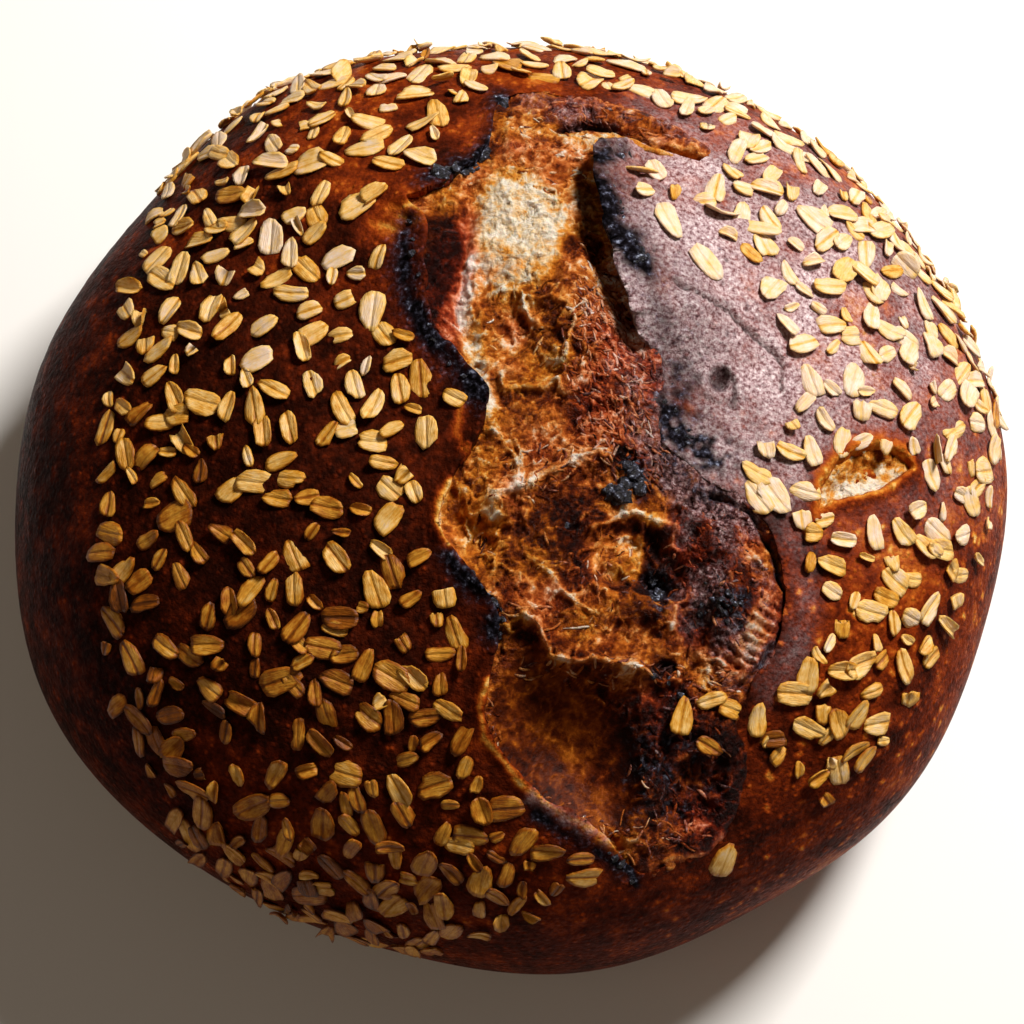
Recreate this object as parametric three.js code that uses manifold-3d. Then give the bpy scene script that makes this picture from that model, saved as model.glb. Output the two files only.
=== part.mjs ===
// A round sourdough loaf with an oat crust: about a kilogram of naturally leavened bread, baked on a stone.
// The crust is a dome with a flat base. One long score has burst open in the oven, so the crust ends in
// curled, charred lips, and the torn crumb stands between them with its bubbles, skins and strands.
// Rolled oats are baked into the top. It is all one piece of bread, so it is one solid.
// Millimetres, +Z up, +Y to the back; the origin is the middle of the base, on the surface it rests on.
import * as THREE from "three";
import { mergeVertices } from "three/addons/utils/BufferGeometryUtils.js";
import Module from "manifold-3d";

const wasm = await Module();
wasm.setup();

// ---------------------------------------------------------------- driving dimensions
const LOAF_WIDTH = 250;
const LOAF_DEPTH = 238;
const LOAF_HEIGHT = 114;
const WIDEST_AT = 46; // height above the base where the loaf is widest
const DOME_POWER = 2.2; // superellipse power of the dome: 2 is a plain ellipse, more is boxier
const UNDERSIDE_POWER = 2.4;
const UNDERSIDE_DEPTH = 62; // depth of the underside's own curve, which the stone cuts off flat
const OUTLINE_CENTRE = [0.65, 0.37]; // puts the middle of the uneven outline over the origin
// Unevenness of the outline: waves round the loaf, their height and where the first crest is, in degrees.
const OUTLINE_WAVES = [
  { waves: 3, height: 0.9, crest: -32 },
  { waves: 4, height: 1.0, crest: 22 },
  { waves: 5, height: 0.5, crest: -14 },
  { waves: 7, height: 0.7, crest: 13 },
  { waves: 9, height: 0.6, crest: 2 },
];

const CRUST_DETAIL = 10; // subdivisions of the crust's icosahedron
const CRUST_PULL = new THREE.Vector3(0.1, 0, 0.42); // draws its triangles up to the burst top
const CRUMB_CELL = 3.3; // grid of the torn crumb

// The torn edge of the crust, seen from above: the left lip from the back to the front of the loaf ...
const LEFT_LIP = [
  [-3, 89], [-5, 83], [-6, 77], [-8, 72], [-11, 68], [-15, 64], [-20, 61], [-26, 59],
  [-25, 55], [-21, 50], [-22, 41], [-21, 32], [-19, 23], [-15, 17], [-11, 12], [-7, 7],
  [-7, 0], [-10, -6], [-14, -13], [-17, -20], [-17, -26], [-14, -32], [-9, -38], [-5, -44],
  [-4, -51], [-6, -58], [-7, -66], [-5, -74], [0, -80], [6, -86], [14, -90], [22, -95], [29, -101],
];
// ... and the right edge back again, along the fold, the ear and the strip behind it.
const RIGHT_EDGE = [
  [39, -98], [48, -92], [52, -84], [53, -75], [51, -67], [56, -60], [61, -52], [64, -44],
  [64, -36], [62, -28], [58, -21], [50, -16], [41, -10], [34, -4], [33, 5], [34, 12], [32, 19],
  [30, 27], [28, 36], [26, 43], [24, 50], [23, 57], [22, 64], [23, 70], [30, 73], [39, 72],
  [46, 70], [48, 74], [41, 80], [32, 85], [22, 88], [12, 90], [4, 91],
];
const EAR_EDGE = [
  [34, 11], [32, 19], [30, 27], [28, 36], [26, 43], [24, 50], [23, 57], [22, 64], [23, 70], [30, 73],
];

const LIP_FLARE = { height: 3, reach: 9 }; // the left lip curls up above the crust behind it
const EAR_FLARE = { height: 7.5, reach: 24 }; // the ear stands higher, over a wider slope
const LIP_THICKNESS = 3.2;
const EAR_THICKNESS = 4.4;
const CRUMB_BELOW_CRUST = 1.8;

// Soft swellings and hollows of the torn crumb: middle, half-lengths along and across, turn, height.
const CRUMB_FORMS = [
  { name: "bulge of the torn crumb", at: [20, 30], half: [46, 24], turn: 90, height: 4 },
  { name: "pale mound", at: [1, 50], half: [17, 13], turn: 90, height: 1.5 },
  { name: "upper bubble", at: [2, 23], half: [11, 9], turn: 60, height: -3.5 },
  { name: "small bubble beside it", at: [8, 14], half: [6, 5], turn: 30, height: -2.5 },
  { name: "pocket behind the pale lip", at: [-9, -26], half: [13, 9], turn: 100, height: -4.5 },
  { name: "big pocket under the front lip", at: [13, -73], half: [25, 18], turn: -50, height: -11 },
  { name: "crater", at: [30, -33], half: [15, 10], turn: -10, height: -6 },
  { name: "knob in the crater", at: [25, -32], half: [6, 5], turn: 0, height: 4 },
  { name: "shallow hollow", at: [28, -49], half: [11, 5], turn: 0, height: -2.5 },
  { name: "rolled fold", at: [51, -40], half: [22, 13], turn: 100, height: 5.5 },
  { name: "front trough", at: [43, -82], half: [18, 12], turn: -60, height: -3 },
];
// Raised strands and skins, and the cracks between them: a line, its half-width and height.
const CRUMB_LINES = [
  {
    name: "skin over the big pocket",
    line: [[-2, -47], [2, -45], [6, -48], [10, -54], [21, -56], [35, -58]],
    width: 3,
    height: 3,
  },
  { name: "long strand", line: [[-9, -20], [7, -14], [25, -7]], width: 3.5, height: 2.6 },
  {
    name: "crack behind the ear",
    line: [[8, 76], [13, 79], [20, 80], [28, 79], [35, 75], [44, 73]],
    width: 3.2,
    height: -4,
  },
  {
    name: "gap under the ear",
    line: [[19, 60], [20, 50], [23, 40], [27, 28], [30, 20]],
    width: 4.5,
    height: -4,
  },
  {
    name: "crease inside the fold's edge",
    line: [[52, -20], [58, -28], [61, -37], [60, -46], [55, -55]],
    width: 3,
    height: -3,
  },
];
const CHARRED_KNOBS = [[27, -14, 4], [23, -19, 2.8], [-12, 66, 3.4]]; // charred lumps: x, y, radius
const SIDE_TEAR = { at: [84, -11], half: [12, 6], turn: 24, depth: 5 };
const SIDE_TEAR_LIP = [[71, -19], [77, -19], [82, -16], [88, -13], [94, -10]];
const DIMPLE = { at: [48, 11], half: [2.4, 4], depth: 3 };
const SLOW_LUMPS = 0.7; // height of the crust's gentle unevenness

// Rolled oats. The oldest, largest come first; each keeps its distance from those before it.
const FLAKE_COUNT = 148;
const FLAKE_SEED = 20240611;
const FLAKE_LENGTH = [10.6, 7.6]; // from the first flake to the last
const FLAKE_WIDTH_SHARE = [0.56, 0.74];
const FLAKE_PROUD = 1.1; // how far its face stands out of the crust
const FLAKE_ROOT = 7; // each flake narrows to a point this deep below its face, which anchors it
const FLAKE_DISH = 0.4; // depth of the hollow in its face
const FLAKE_SPACING = 10;
const FLAKE_SIDES = 6;
const LOWEST_OATS = -0.12; // lowest upward lean of the crust that has oats
// Where the oats end, as the upward lean of the crust (1 is level, 0 upright) at angles round the loaf.
const OAT_LIMITS = [
  [0, 0.37], [12, 0.1], [30, -0.1], [60, -0.12], [90, -0.1], [120, -0.05], [135, 0.1],
  [148, 0.52], [168, 0.65], [183, 0.645], [198, 0.63], [212, 0.5], [221, 0.4], [231, 0.12],
  [240, 0], [258, 0.05], [268, 0.35], [280, 0.52], [284, 0.6], [285, 1.1], [308, 1.1],
  [311, 0.42], [329, 0.46], [337, 0.43], [350, 0.36], [360, 0.37],
];
const BARE_SKIN = { at: [46, 27], half: [31, 16], turn: 117 }; // the ear's blistered slope has hardly any
const BARE_MARGIN = 3.5; // no oats this near the torn edge
// The few that did stick there: x, y and the turn of the flake in degrees.
const STRAY_FLAKES = [[37, 50, -60], [46, 40, -45], [50, 55, 20], [61, -16, -60], [50, -97, 60]];

// ---------------------------------------------------------------- the smooth loaf
const degrees = Math.PI / 180;

function outlineRadius(angle) {
  const a = LOAF_WIDTH / 2;
  const b = LOAF_DEPTH / 2;
  const ellipse = (a * b) / Math.hypot(b * Math.cos(angle), a * Math.sin(angle));
  const uneven = OUTLINE_WAVES.map((w) => w.height * Math.cos(w.waves * (angle - w.crest * degrees)));
  return uneven.reduce((sum, h) => sum + h, ellipse);
}

// The loaf's skin in a direction from its middle, before anything lifts it.
function bodyPoint(direction) {
  const angle = Math.atan2(direction.y, direction.x);
  const lean = Math.hypot(direction.x, direction.y);
  const power = direction.z >= 0 ? DOME_POWER : UNDERSIDE_POWER;
  const reach = outlineRadius(angle) * lean ** (2 / power);
  const rise = Math.abs(direction.z) ** (2 / power);
  const height = direction.z >= 0 ? rise * (LOAF_HEIGHT - WIDEST_AT) : -rise * UNDERSIDE_DEPTH;
  return new THREE.Vector3(
    reach * Math.cos(angle) - OUTLINE_CENTRE[0],
    reach * Math.sin(angle) - OUTLINE_CENTRE[1],
    Math.max(0, WIDEST_AT + height),
  );
}

// Height of that skin over a point of the plan.
function domeHeight(x, y) {
  const px = x + OUTLINE_CENTRE[0];
  const py = y + OUTLINE_CENTRE[1];
  const share = Math.min(1, Math.hypot(px, py) / outlineRadius(Math.atan2(py, px)));
  return WIDEST_AT + (LOAF_HEIGHT - WIDEST_AT) * (1 - share ** DOME_POWER) ** (1 / DOME_POWER);
}

// ---------------------------------------------------------------- lines and soft forms on the plan
// Distance to a line of points, and the side of it: positive to the left of its direction.
function toLine(x, y, line) {
  let best = { distance: Infinity, side: 1, along: 0 };
  for (let i = 0; i + 1 < line.length; i++) {
    const [ax, ay] = line[i];
    const [dx, dy] = [line[i + 1][0] - ax, line[i + 1][1] - ay];
    const t = THREE.MathUtils.clamp(((x - ax) * dx + (y - ay) * dy) / (dx * dx + dy * dy), 0, 1);
    const [ox, oy] = [x - ax - t * dx, y - ay - t * dy];
    const distance = Math.hypot(ox, oy);
    if (distance < best.distance)
      best = { distance, side: Math.sign(dx * oy - dy * ox), along: (i + t) / (line.length - 1) };
  }
  return best;
}

// 0 at the middle of a turned ellipse, 1 on its edge.
function inEllipse(x, y, { at, half, turn = 0 }) {
  const c = Math.cos(turn * degrees);
  const s = Math.sin(turn * degrees);
  const along = (x - at[0]) * c + (y - at[1]) * s;
  const across = (y - at[1]) * c - (x - at[0]) * s;
  return Math.hypot(along / half[0], across / half[1]);
}

const taper = (along) => Math.min(1, 5 * along, 5 * (1 - along));

function crustLift(x, y) {
  const lumps = SLOW_LUMPS * (Math.sin(x / 17 + 1.3) * Math.sin(y / 21) + Math.sin((x + y) / 11) * 0.5);
  const lip = toLine(x, y, LEFT_LIP);
  const flare = LIP_FLARE.height * Math.exp(-lip.distance / LIP_FLARE.reach) * taper(lip.along);
  const ear = toLine(x, y, EAR_EDGE);
  const rise = EAR_FLARE.height * Math.exp(-((ear.distance / EAR_FLARE.reach) ** 2)) * taper(ear.along);
  return lumps + flare + (x > EAR_EDGE[0][0] - 14 ? rise : 0);
}

function crumbLift(x, y) {
  let lift = -CRUMB_BELOW_CRUST;
  for (const form of CRUMB_FORMS) {
    const share = inEllipse(x, y, form);
    if (share < 1) lift += form.height * (1 - share * share) ** 1.5;
  }
  for (const { line, width, height } of CRUMB_LINES) {
    const near = toLine(x, y, line);
    lift += height * Math.exp(-((near.distance / width) ** 2));
  }
  return lift;
}

function crustPoint(direction) {
  const point = bodyPoint(direction);
  const lifted = THREE.MathUtils.smoothstep(direction.z, 0.05, 0.45);
  point.z += crustLift(point.x, point.y) * lifted;
  return point;
}

// ---------------------------------------------------------------- solids
function solidOf(geometry) {
  const bare = geometry.clone();
  for (const name of ["normal", "uv"]) bare.deleteAttribute(name);
  const merged = mergeVertices(bare, 1e-4);
  return new wasm.Manifold(
    new wasm.Mesh({
      numProp: 3,
      vertProperties: new Float32Array(merged.attributes.position.array),
      triVerts: new Uint32Array(merged.index.array),
    }),
  );
}

function geometryOf(solid) {
  const mesh = solid.getMesh();
  const geometry = new THREE.BufferGeometry();
  geometry.setAttribute("position", new THREE.BufferAttribute(mesh.vertProperties, 3));
  geometry.setIndex(new THREE.BufferAttribute(mesh.triVerts, 1));
  geometry.computeVertexNormals();
  return geometry;
}

// The whole crust, as if the score had never opened.
function crustGeometry() {
  const geometry = new THREE.IcosahedronGeometry(1, CRUST_DETAIL);
  const position = geometry.attributes.position;
  for (let i = 0; i < position.count; i++) {
    const direction = new THREE.Vector3().fromBufferAttribute(position, i).add(CRUST_PULL).normalize();
    position.setXYZ(i, ...crustPoint(direction).toArray());
  }
  return geometry;
}

// The loop pushed outwards by a distance, for a loop that runs anticlockwise seen from above.
function grownLoop(loop, distance) {
  return loop.map((point, i) => {
    const before = loop[(i + loop.length - 1) % loop.length];
    const after = loop[(i + 1) % loop.length];
    const along = new THREE.Vector2(after[0] - before[0], after[1] - before[1]).normalize();
    return [point[0] + distance * along.y, point[1] - distance * along.x];
  });
}

function prismGeometry(loop, from, to) {
  const shape = new THREE.Shape(loop.map(([x, y]) => new THREE.Vector2(x, y)));
  return new THREE.ExtrudeGeometry(shape, { depth: to - from, bevelEnabled: false }).translate(0, 0, from);
}

// A block whose top is the torn crumb.
function crumbGeometry() {
  const [west, east, south, north] = [-32, 72, -108, 96];
  const floor = 55;
  const [across, along] = [east - west, north - south].map((size) => Math.round(size / CRUMB_CELL));
  const geometry = new THREE.BoxGeometry(east - west, north - south, 2, across, along, 1);
  geometry.translate((east + west) / 2, (north + south) / 2, 1);
  const position = geometry.attributes.position;
  for (let i = 0; i < position.count; i++) {
    const [x, y, z] = [position.getX(i), position.getY(i), position.getZ(i)];
    position.setZ(i, z > 1 ? Math.max(floor + 1, domeHeight(x, y) + crumbLift(x, y)) : floor);
  }
  return geometry;
}

// A rolled rim along a torn edge: a tube that dives into the bread at both ends.
function rimGeometry(line, thickness, steps) {
  const last = line.length - 1;
  const points = line.map(([x, y], i) => {
    const dive = i === 0 || i === last ? thickness * 1.6 : thickness * 0.1;
    return new THREE.Vector3(x, y, domeHeight(x, y) + crustLift(x, y) - dive);
  });
  const section = new THREE.Shape();
  section.absellipse(0, 0, thickness / 2, thickness / 2, 0, 2 * Math.PI);
  const extrudePath = new THREE.CatmullRomCurve3(points);
  return new THREE.ExtrudeGeometry(section, { extrudePath, steps, curveSegments: 2, bevelEnabled: false });
}

function ballGeometry(x, y, z, half) {
  const ball = new THREE.IcosahedronGeometry(1, 1);
  return ball.scale(...half).translate(x, y, z);
}

// ---------------------------------------------------------------- rolled oats
function randomNumbers(seed) {
  let state = seed >>> 0;
  return () => {
    state = (Math.imul(state, 1664525) + 1013904223) >>> 0;
    return state / 2 ** 32;
  };
}

function oatLimit(angle) {
  const turn = ((angle / degrees) % 360 + 360) % 360;
  const next = OAT_LIMITS.findIndex(([to]) => turn < to);
  const [[a, low], [b, high]] = [OAT_LIMITS[next - 1], OAT_LIMITS[next]];
  return low + ((high - low) * (turn - a)) / (b - a);
}

const TORN_EDGE = [...LEFT_LIP, ...RIGHT_EDGE];

function isInside(x, y, loop) {
  let inside = false;
  loop.forEach(([ax, ay], i) => {
    const [bx, by] = loop[(i + 1) % loop.length];
    if (ay > y !== by > y && x < ax + ((bx - ax) * (y - ay)) / (by - ay)) inside = !inside;
  });
  return inside;
}

function hasOats(direction, { x, y }) {
  if (direction.z < oatLimit(Math.atan2(direction.y, direction.x))) return false;
  if (direction.z < 0.3) return true;
  if (isInside(x, y, TORN_EDGE)) return false;
  if (toLine(x, y, [...TORN_EDGE, TORN_EDGE[0]]).distance < BARE_MARGIN + 2) return false;
  return inEllipse(x, y, SIDE_TEAR) > 1.35 && inEllipse(x, y, BARE_SKIN) > 1;
}

function leaning(angle, rise) {
  const lean = Math.sqrt(1 - rise * rise);
  return new THREE.Vector3(lean * Math.cos(angle), lean * Math.sin(angle), rise);
}

// Directions of the flakes from the loaf's middle, with the turn and width of each.
function scatterFlakes() {
  const random = randomNumbers(FLAKE_SEED);
  const found = STRAY_FLAKES.map(([x, y, turn]) => {
    const px = x + OUTLINE_CENTRE[0];
    const py = y + OUTLINE_CENTRE[1];
    const angle = Math.atan2(py, px);
    const lean = (Math.hypot(px, py) / outlineRadius(angle)) ** (DOME_POWER / 2);
    const direction = leaning(angle, Math.sqrt(1 - lean * lean));
    return { direction, point: bodyPoint(direction), turn: turn * degrees, width: 0.6 };
  });
  while (found.length < FLAKE_COUNT) {
    const angle = 2 * Math.PI * random();
    const direction = leaning(angle, 1 - random() * (1 - LOWEST_OATS));
    const point = bodyPoint(direction);
    if (!hasOats(direction, point)) continue;
    if (found.some((flake) => flake.point.distanceTo(point) < FLAKE_SPACING)) continue;
    const turn = Math.PI * random();
    const [narrow, wide] = FLAKE_WIDTH_SHARE;
    found.push({ direction, point, turn, width: narrow + (wide - narrow) * random() });
  }
  return found;
}

// One flake: a flat six-sided face with lifted edges, that narrows into the crust where it lies.
function flakeGeometry({ direction, turn, width }, order) {
  const step = 0.01;
  const east = new THREE.Vector3(1, 0, 0).addScaledVector(direction, -direction.x).normalize();
  const north = new THREE.Vector3().crossVectors(direction, east);
  const here = crustPoint(direction);
  const toEast = crustPoint(direction.clone().addScaledVector(east, step).normalize()).sub(here);
  const toNorth = crustPoint(direction.clone().addScaledVector(north, step).normalize()).sub(here);
  const normal = new THREE.Vector3().crossVectors(toEast, toNorth).normalize();
  const long = toEast.normalize().applyAxisAngle(normal, turn);
  const short = new THREE.Vector3().crossVectors(normal, long);
  const share = order / FLAKE_COUNT;
  const length = FLAKE_LENGTH[0] + (FLAKE_LENGTH[1] - FLAKE_LENGTH[0]) * share;
  const flake = new THREE.ConeGeometry(0.5, FLAKE_ROOT, FLAKE_SIDES);
  flake.rotateX(-Math.PI / 2).rotateZ(Math.PI / 2).scale(length, length * width, 1);
  flake.translate(0, 0, FLAKE_PROUD - FLAKE_ROOT / 2);
  const position = flake.attributes.position;
  for (let i = 0; i < position.count; i++) {
    const isMiddle = position.getZ(i) > 0 && Math.hypot(position.getX(i), position.getY(i)) < 0.01;
    if (isMiddle) position.setZ(i, FLAKE_PROUD - FLAKE_DISH);
  }
  const place = new THREE.Matrix4().makeBasis(long, short, normal).setPosition(here);
  return flake.applyMatrix4(place);
}

// ---------------------------------------------------------------- the loaf
function bakeLoaf() {
  const top = LOAF_HEIGHT + 20;
  const opening = solidOf(prismGeometry(TORN_EDGE, 60, top));
  const seat = solidOf(prismGeometry(grownLoop(TORN_EDGE, 1.4), 50, top));
  let loaf = solidOf(crustGeometry()).subtract(opening);
  loaf = loaf.add(solidOf(crumbGeometry()).intersect(seat));

  const [tx, ty] = SIDE_TEAR.at;
  const tear = ballGeometry(0, 0, 0, [...SIDE_TEAR.half, SIDE_TEAR.depth]).rotateZ(SIDE_TEAR.turn * degrees);
  loaf = loaf.subtract(solidOf(tear.translate(tx, ty, domeHeight(tx, ty) + 1)));
  const [dx, dy] = DIMPLE.at;
  const dimpleHeight = domeHeight(dx, dy) + crustLift(dx, dy);
  loaf = loaf.subtract(solidOf(ballGeometry(dx, dy, dimpleHeight, [...DIMPLE.half, DIMPLE.depth])));

  const rims = [
    rimGeometry(LEFT_LIP.slice(0, 9), LIP_THICKNESS, 10),
    rimGeometry(LEFT_LIP.slice(8), LIP_THICKNESS, 32),
    rimGeometry(EAR_EDGE, EAR_THICKNESS, 14),
    rimGeometry(SIDE_TEAR_LIP, LIP_THICKNESS, 6),
  ];
  const knobs = CHARRED_KNOBS.map(([x, y, r]) => {
    const height = domeHeight(x, y) + crumbLift(x, y) + r * 0.4;
    return ballGeometry(x, y, height, [r, r, r * 0.8]);
  });
  const flakes = scatterFlakes().map(flakeGeometry);
  for (const piece of [...rims, ...knobs, ...flakes]) loaf = loaf.add(solidOf(piece));
  return loaf;
}

const loafMesh = new THREE.Mesh(
  geometryOf(bakeLoaf()),
  new THREE.MeshStandardMaterial({ color: 0x5a2c14, roughness: 0.6, metalness: 0 }),
);
loafMesh.name = "loaf";

const bread = new THREE.Group();
bread.add(loafMesh);
export default bread;
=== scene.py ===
import math

import bmesh
import bpy
import numpy as np
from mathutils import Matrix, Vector


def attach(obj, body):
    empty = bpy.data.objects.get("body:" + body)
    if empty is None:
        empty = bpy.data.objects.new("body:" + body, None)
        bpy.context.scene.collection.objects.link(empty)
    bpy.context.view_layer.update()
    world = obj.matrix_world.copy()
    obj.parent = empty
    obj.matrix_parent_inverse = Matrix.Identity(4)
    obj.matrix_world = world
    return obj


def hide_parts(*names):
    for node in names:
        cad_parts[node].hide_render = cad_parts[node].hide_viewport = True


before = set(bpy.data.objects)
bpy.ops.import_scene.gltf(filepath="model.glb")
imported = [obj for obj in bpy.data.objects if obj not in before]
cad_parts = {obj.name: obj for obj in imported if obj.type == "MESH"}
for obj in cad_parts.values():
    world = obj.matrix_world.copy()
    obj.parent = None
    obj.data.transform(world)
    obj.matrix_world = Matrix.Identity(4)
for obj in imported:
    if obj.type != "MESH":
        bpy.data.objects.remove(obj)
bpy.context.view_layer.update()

# ---------------------------------------------------------------- crust
# The baked skin of a round sourdough: wheat dough scored once and baked dark on a stone. It is a dome with
# a flat base. Along the burst score it ends in a wall that drops to the crumb: thin and curled on the left,
# and a thick ear standing high on the right. Sizes are in millimetres, and become metres in the mesh.
MM = 0.001
LOAF_WIDTH, LOAF_DEPTH, LOAF_HEIGHT = 250, 238, 114
WIDEST_AT = 46
DOME_POWER, UNDERSIDE_POWER = 2.2, 2.4
UNDERSIDE_DEPTH = 62
OUTLINE_CENTRE = (0.65, 0.37)
OUTLINE_WAVES = [(3, 0.9, -32), (4, 1.0, 22), (5, 0.5, -14), (7, 0.7, 13), (9, 0.6, 2)]
CRUST_PULL = (0.1, 0, 0.42)

LEFT_LIP = [
    (-3, 89), (-5, 83), (-6, 77), (-8, 72), (-11, 68), (-15, 64), (-20, 61), (-26, 59),
    (-25, 55), (-21, 50), (-22, 41), (-21, 32), (-19, 23), (-15, 17), (-11, 12), (-7, 7),
    (-7, 0), (-10, -6), (-14, -13), (-17, -20), (-17, -26), (-14, -32), (-9, -38), (-5, -44),
    (-4, -51), (-6, -58), (-7, -66), (-5, -74), (0, -80), (6, -86), (14, -90), (22, -95), (29, -101),
]
RIGHT_EDGE = [
    (39, -98), (48, -92), (52, -84), (53, -75), (51, -67), (56, -60), (61, -52), (64, -44),
    (64, -36), (62, -28), (58, -21), (50, -16), (41, -10), (34, -4), (33, 5), (34, 12), (32, 19),
    (30, 27), (28, 36), (26, 43), (24, 50), (23, 57), (22, 64), (23, 70), (30, 73), (39, 72),
    (46, 70), (48, 74), (41, 80), (32, 85), (22, 88), (12, 90), (4, 91),
]
EAR_EDGE = [
    (34, 11), (32, 19), (30, 27), (28, 36), (26, 43), (24, 50), (23, 57), (22, 64), (23, 70), (30, 73),
]
LIP_FLARE, EAR_FLARE = (3, 9), (7.5, 24)  # how high it rises, and how far back
WALL, PIT_DEPTH = 0.9, 20  # how far in the wall below the lip goes, and how deep
TORN_STEP, RAGGED_BY = 1.6, 0.9
EDGE_SNAP = 0.26  # a vertex as near as this is drawn onto the torn edge
FAR_OFF = 50.0  # stands for any distance that is too great to matter
TOP_CELL, SIDE_CELL, BASE_CELL, EAR_CELL, EDGE_CELL, HIDDEN_CELL = 1.4, 3.0, 7.0, 0.8, 0.55, 5
BLISTER_SPACING, PORE_SPACING, WRINKLE_SPACING = 4.6, 3.0, 3.1
SIDE_TEAR = dict(at=(84, -11), half=(12, 6), turn=24)
SIDE_TEAR_EDGE = [
    (71.5, -19), (75.5, -16), (80, -14.5), (86, -12.5), (91, -9.5), (95.5, -5.5),
    (93, -2), (87, -1), (81, -3), (76, -7), (72.5, -12),
]
DIMPLE = dict(at=(48.5, 11.5), half=(2.8, 3.4))
DIMPLE_CREASE = [(50, 14.5), (52, 11.5), (52.3, 8), (51.5, 5)]
EAR_NICK = [(39, 5), (42, 3)]
EAR_CRACK = [(37, 35), (44, 32), (52, 28), (57, 23), (61, 21), (64, 16), (64, 9)]
WRINKLES_AT = (29, 61)
BARE_BAND = [(-8, 63), (-12, 60), (-17, 57), (-24, 54), (-31, 50), (-38, 46)]
CHARRED_EDGES = [
    # where, how wide, how black
    ([(-3, 90), (-4, 86), (-4, 78), (-7, 71)], 2.4, 1), ([(-9, 69), (-13, 67), (-20, 63)], 2.8, 1),
    ([(-25, 50), (-26, 45), (-26, 39), (-25, 31), (-21, 22), (-15, 14), (-9, 8)], 3.0, 1),
    ([(-9, 8), (-7, 4)], 2.6, 1), ([(-15, -33), (-10, -39), (-4, -44), (-5, -51)], 2.2, 1),
    ([(5, -89), (12, -93), (21, -98), (27, -101), (29, -103)], 1.6, 1),
    ([(27, 71), (23, 66)], 2.0, 0.6), ([(22, 58), (24, 52)], 2.8, 0.8), ([(27, 45), (30, 39)], 3.0, 0.7),
    ([(24, 69), (22, 62), (22, 56), (26, 48), (31, 39), (34, 30), (35, 22)], 2.4, 0.42),
    ([(26, 64), (27, 56), (31, 46), (37, 36), (39, 26), (39, 14), (43, 4)], 10, 0.3),
    ([(34, 12), (35, 4), (39, -4), (47, -10)], 3.0, 0.4),
]
PALE_EDGES = [
    # where, how wide, how brown
    ([(-15, -15), (-17.5, -20), (-17.5, -25), (-15, -30)], 1.2, 0.2),
    ([(-13, -30), (-12, -33)], 1.6, 0.42),
    ([(-6, -60), (-8, -66), (-7, -73), (-2, -79), (2, -84)], 0.8, 0.34),
    ([(3, -85), (10, -89), (18, -93)], 0.9, 0.34), ([(20, -94), (24, -97)], 2.2, 0.42),
    ([(-8, 67), (-5, 67)], 1.6, 0.4), ([(-12, 3), (-13, -3), (-11, -9)], 1.2, 0.5),
    ([(27, 74), (33, 73.6), (40, 72.6), (46, 70)], 1.8, 0.36),
]


def outline_radius(angle):
    a, b = LOAF_WIDTH / 2, LOAF_DEPTH / 2
    radius = a * b / np.hypot(b * np.cos(angle), a * np.sin(angle))
    for waves, height, crest in OUTLINE_WAVES:
        radius = radius + height * np.cos(waves * (angle - math.radians(crest)))
    return radius


def body_point(direction):
    angle = np.arctan2(direction[:, 1], direction[:, 0])
    lean = np.hypot(direction[:, 0], direction[:, 1])
    up = direction[:, 2] >= 0
    power = np.where(up, DOME_POWER, UNDERSIDE_POWER)
    reach = outline_radius(angle) * lean ** (2 / power)
    rise = np.abs(direction[:, 2]) ** (2 / power)
    height = WIDEST_AT + np.where(up, rise * (LOAF_HEIGHT - WIDEST_AT), -rise * UNDERSIDE_DEPTH)
    x = reach * np.cos(angle) - OUTLINE_CENTRE[0]
    y = reach * np.sin(angle) - OUTLINE_CENTRE[1]
    return np.stack([x, y, np.maximum(0, height)], axis=1)


def plan_direction(x, y):
    """The direction from the loaf's middle in which its top skin lies over a point of the plan."""
    px, py = x + OUTLINE_CENTRE[0], y + OUTLINE_CENTRE[1]
    angle = np.arctan2(py, px)
    lean = np.minimum(1, np.hypot(px, py) / outline_radius(angle)) ** (DOME_POWER / 2)
    return np.stack([lean * np.cos(angle), lean * np.sin(angle), np.sqrt(1 - lean * lean)], axis=1)


def dome_height(x, y):
    px, py = x + OUTLINE_CENTRE[0], y + OUTLINE_CENTRE[1]
    share = np.minimum(1, np.hypot(px, py) / outline_radius(np.arctan2(py, px)))
    return WIDEST_AT + (LOAF_HEIGHT - WIDEST_AT) * (1 - share**DOME_POWER) ** (1 / DOME_POWER)


def to_line(x, y, line):
    """Distance to a line of points, how far along it, and the nearest point."""
    distance = np.full(x.shape, 1e9)
    along, near_x, near_y = np.zeros(x.shape), np.zeros(x.shape), np.zeros(x.shape)
    for i, ((ax, ay), (bx, by)) in enumerate(zip(line[:-1], line[1:])):
        dx, dy = bx - ax, by - ay
        t = np.clip(((x - ax) * dx + (y - ay) * dy) / (dx * dx + dy * dy), 0, 1)
        qx, qy = ax + t * dx, ay + t * dy
        d = np.hypot(x - qx, y - qy)
        closer = d < distance
        distance = np.where(closer, d, distance)
        along = np.where(closer, (i + t) / (len(line) - 1), along)
        near_x, near_y = np.where(closer, qx, near_x), np.where(closer, qy, near_y)
    return distance, along, near_x, near_y


def is_inside(x, y, loop):
    inside = np.zeros(x.shape, bool)
    for (ax, ay), (bx, by) in zip(loop, loop[1:] + loop[:1]):
        if ay != by:
            inside ^= ((ay > y) != (by > y)) & (x < ax + (bx - ax) * (y - ay) / (by - ay))
    return inside


def in_ellipse(x, y, at, half, turn=0):
    c, s = math.cos(math.radians(turn)), math.sin(math.radians(turn))
    along = ((x - at[0]) * c + (y - at[1]) * s) / half[0]
    across = ((y - at[1]) * c - (x - at[0]) * s) / half[1]
    return np.hypot(along, across)


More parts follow.
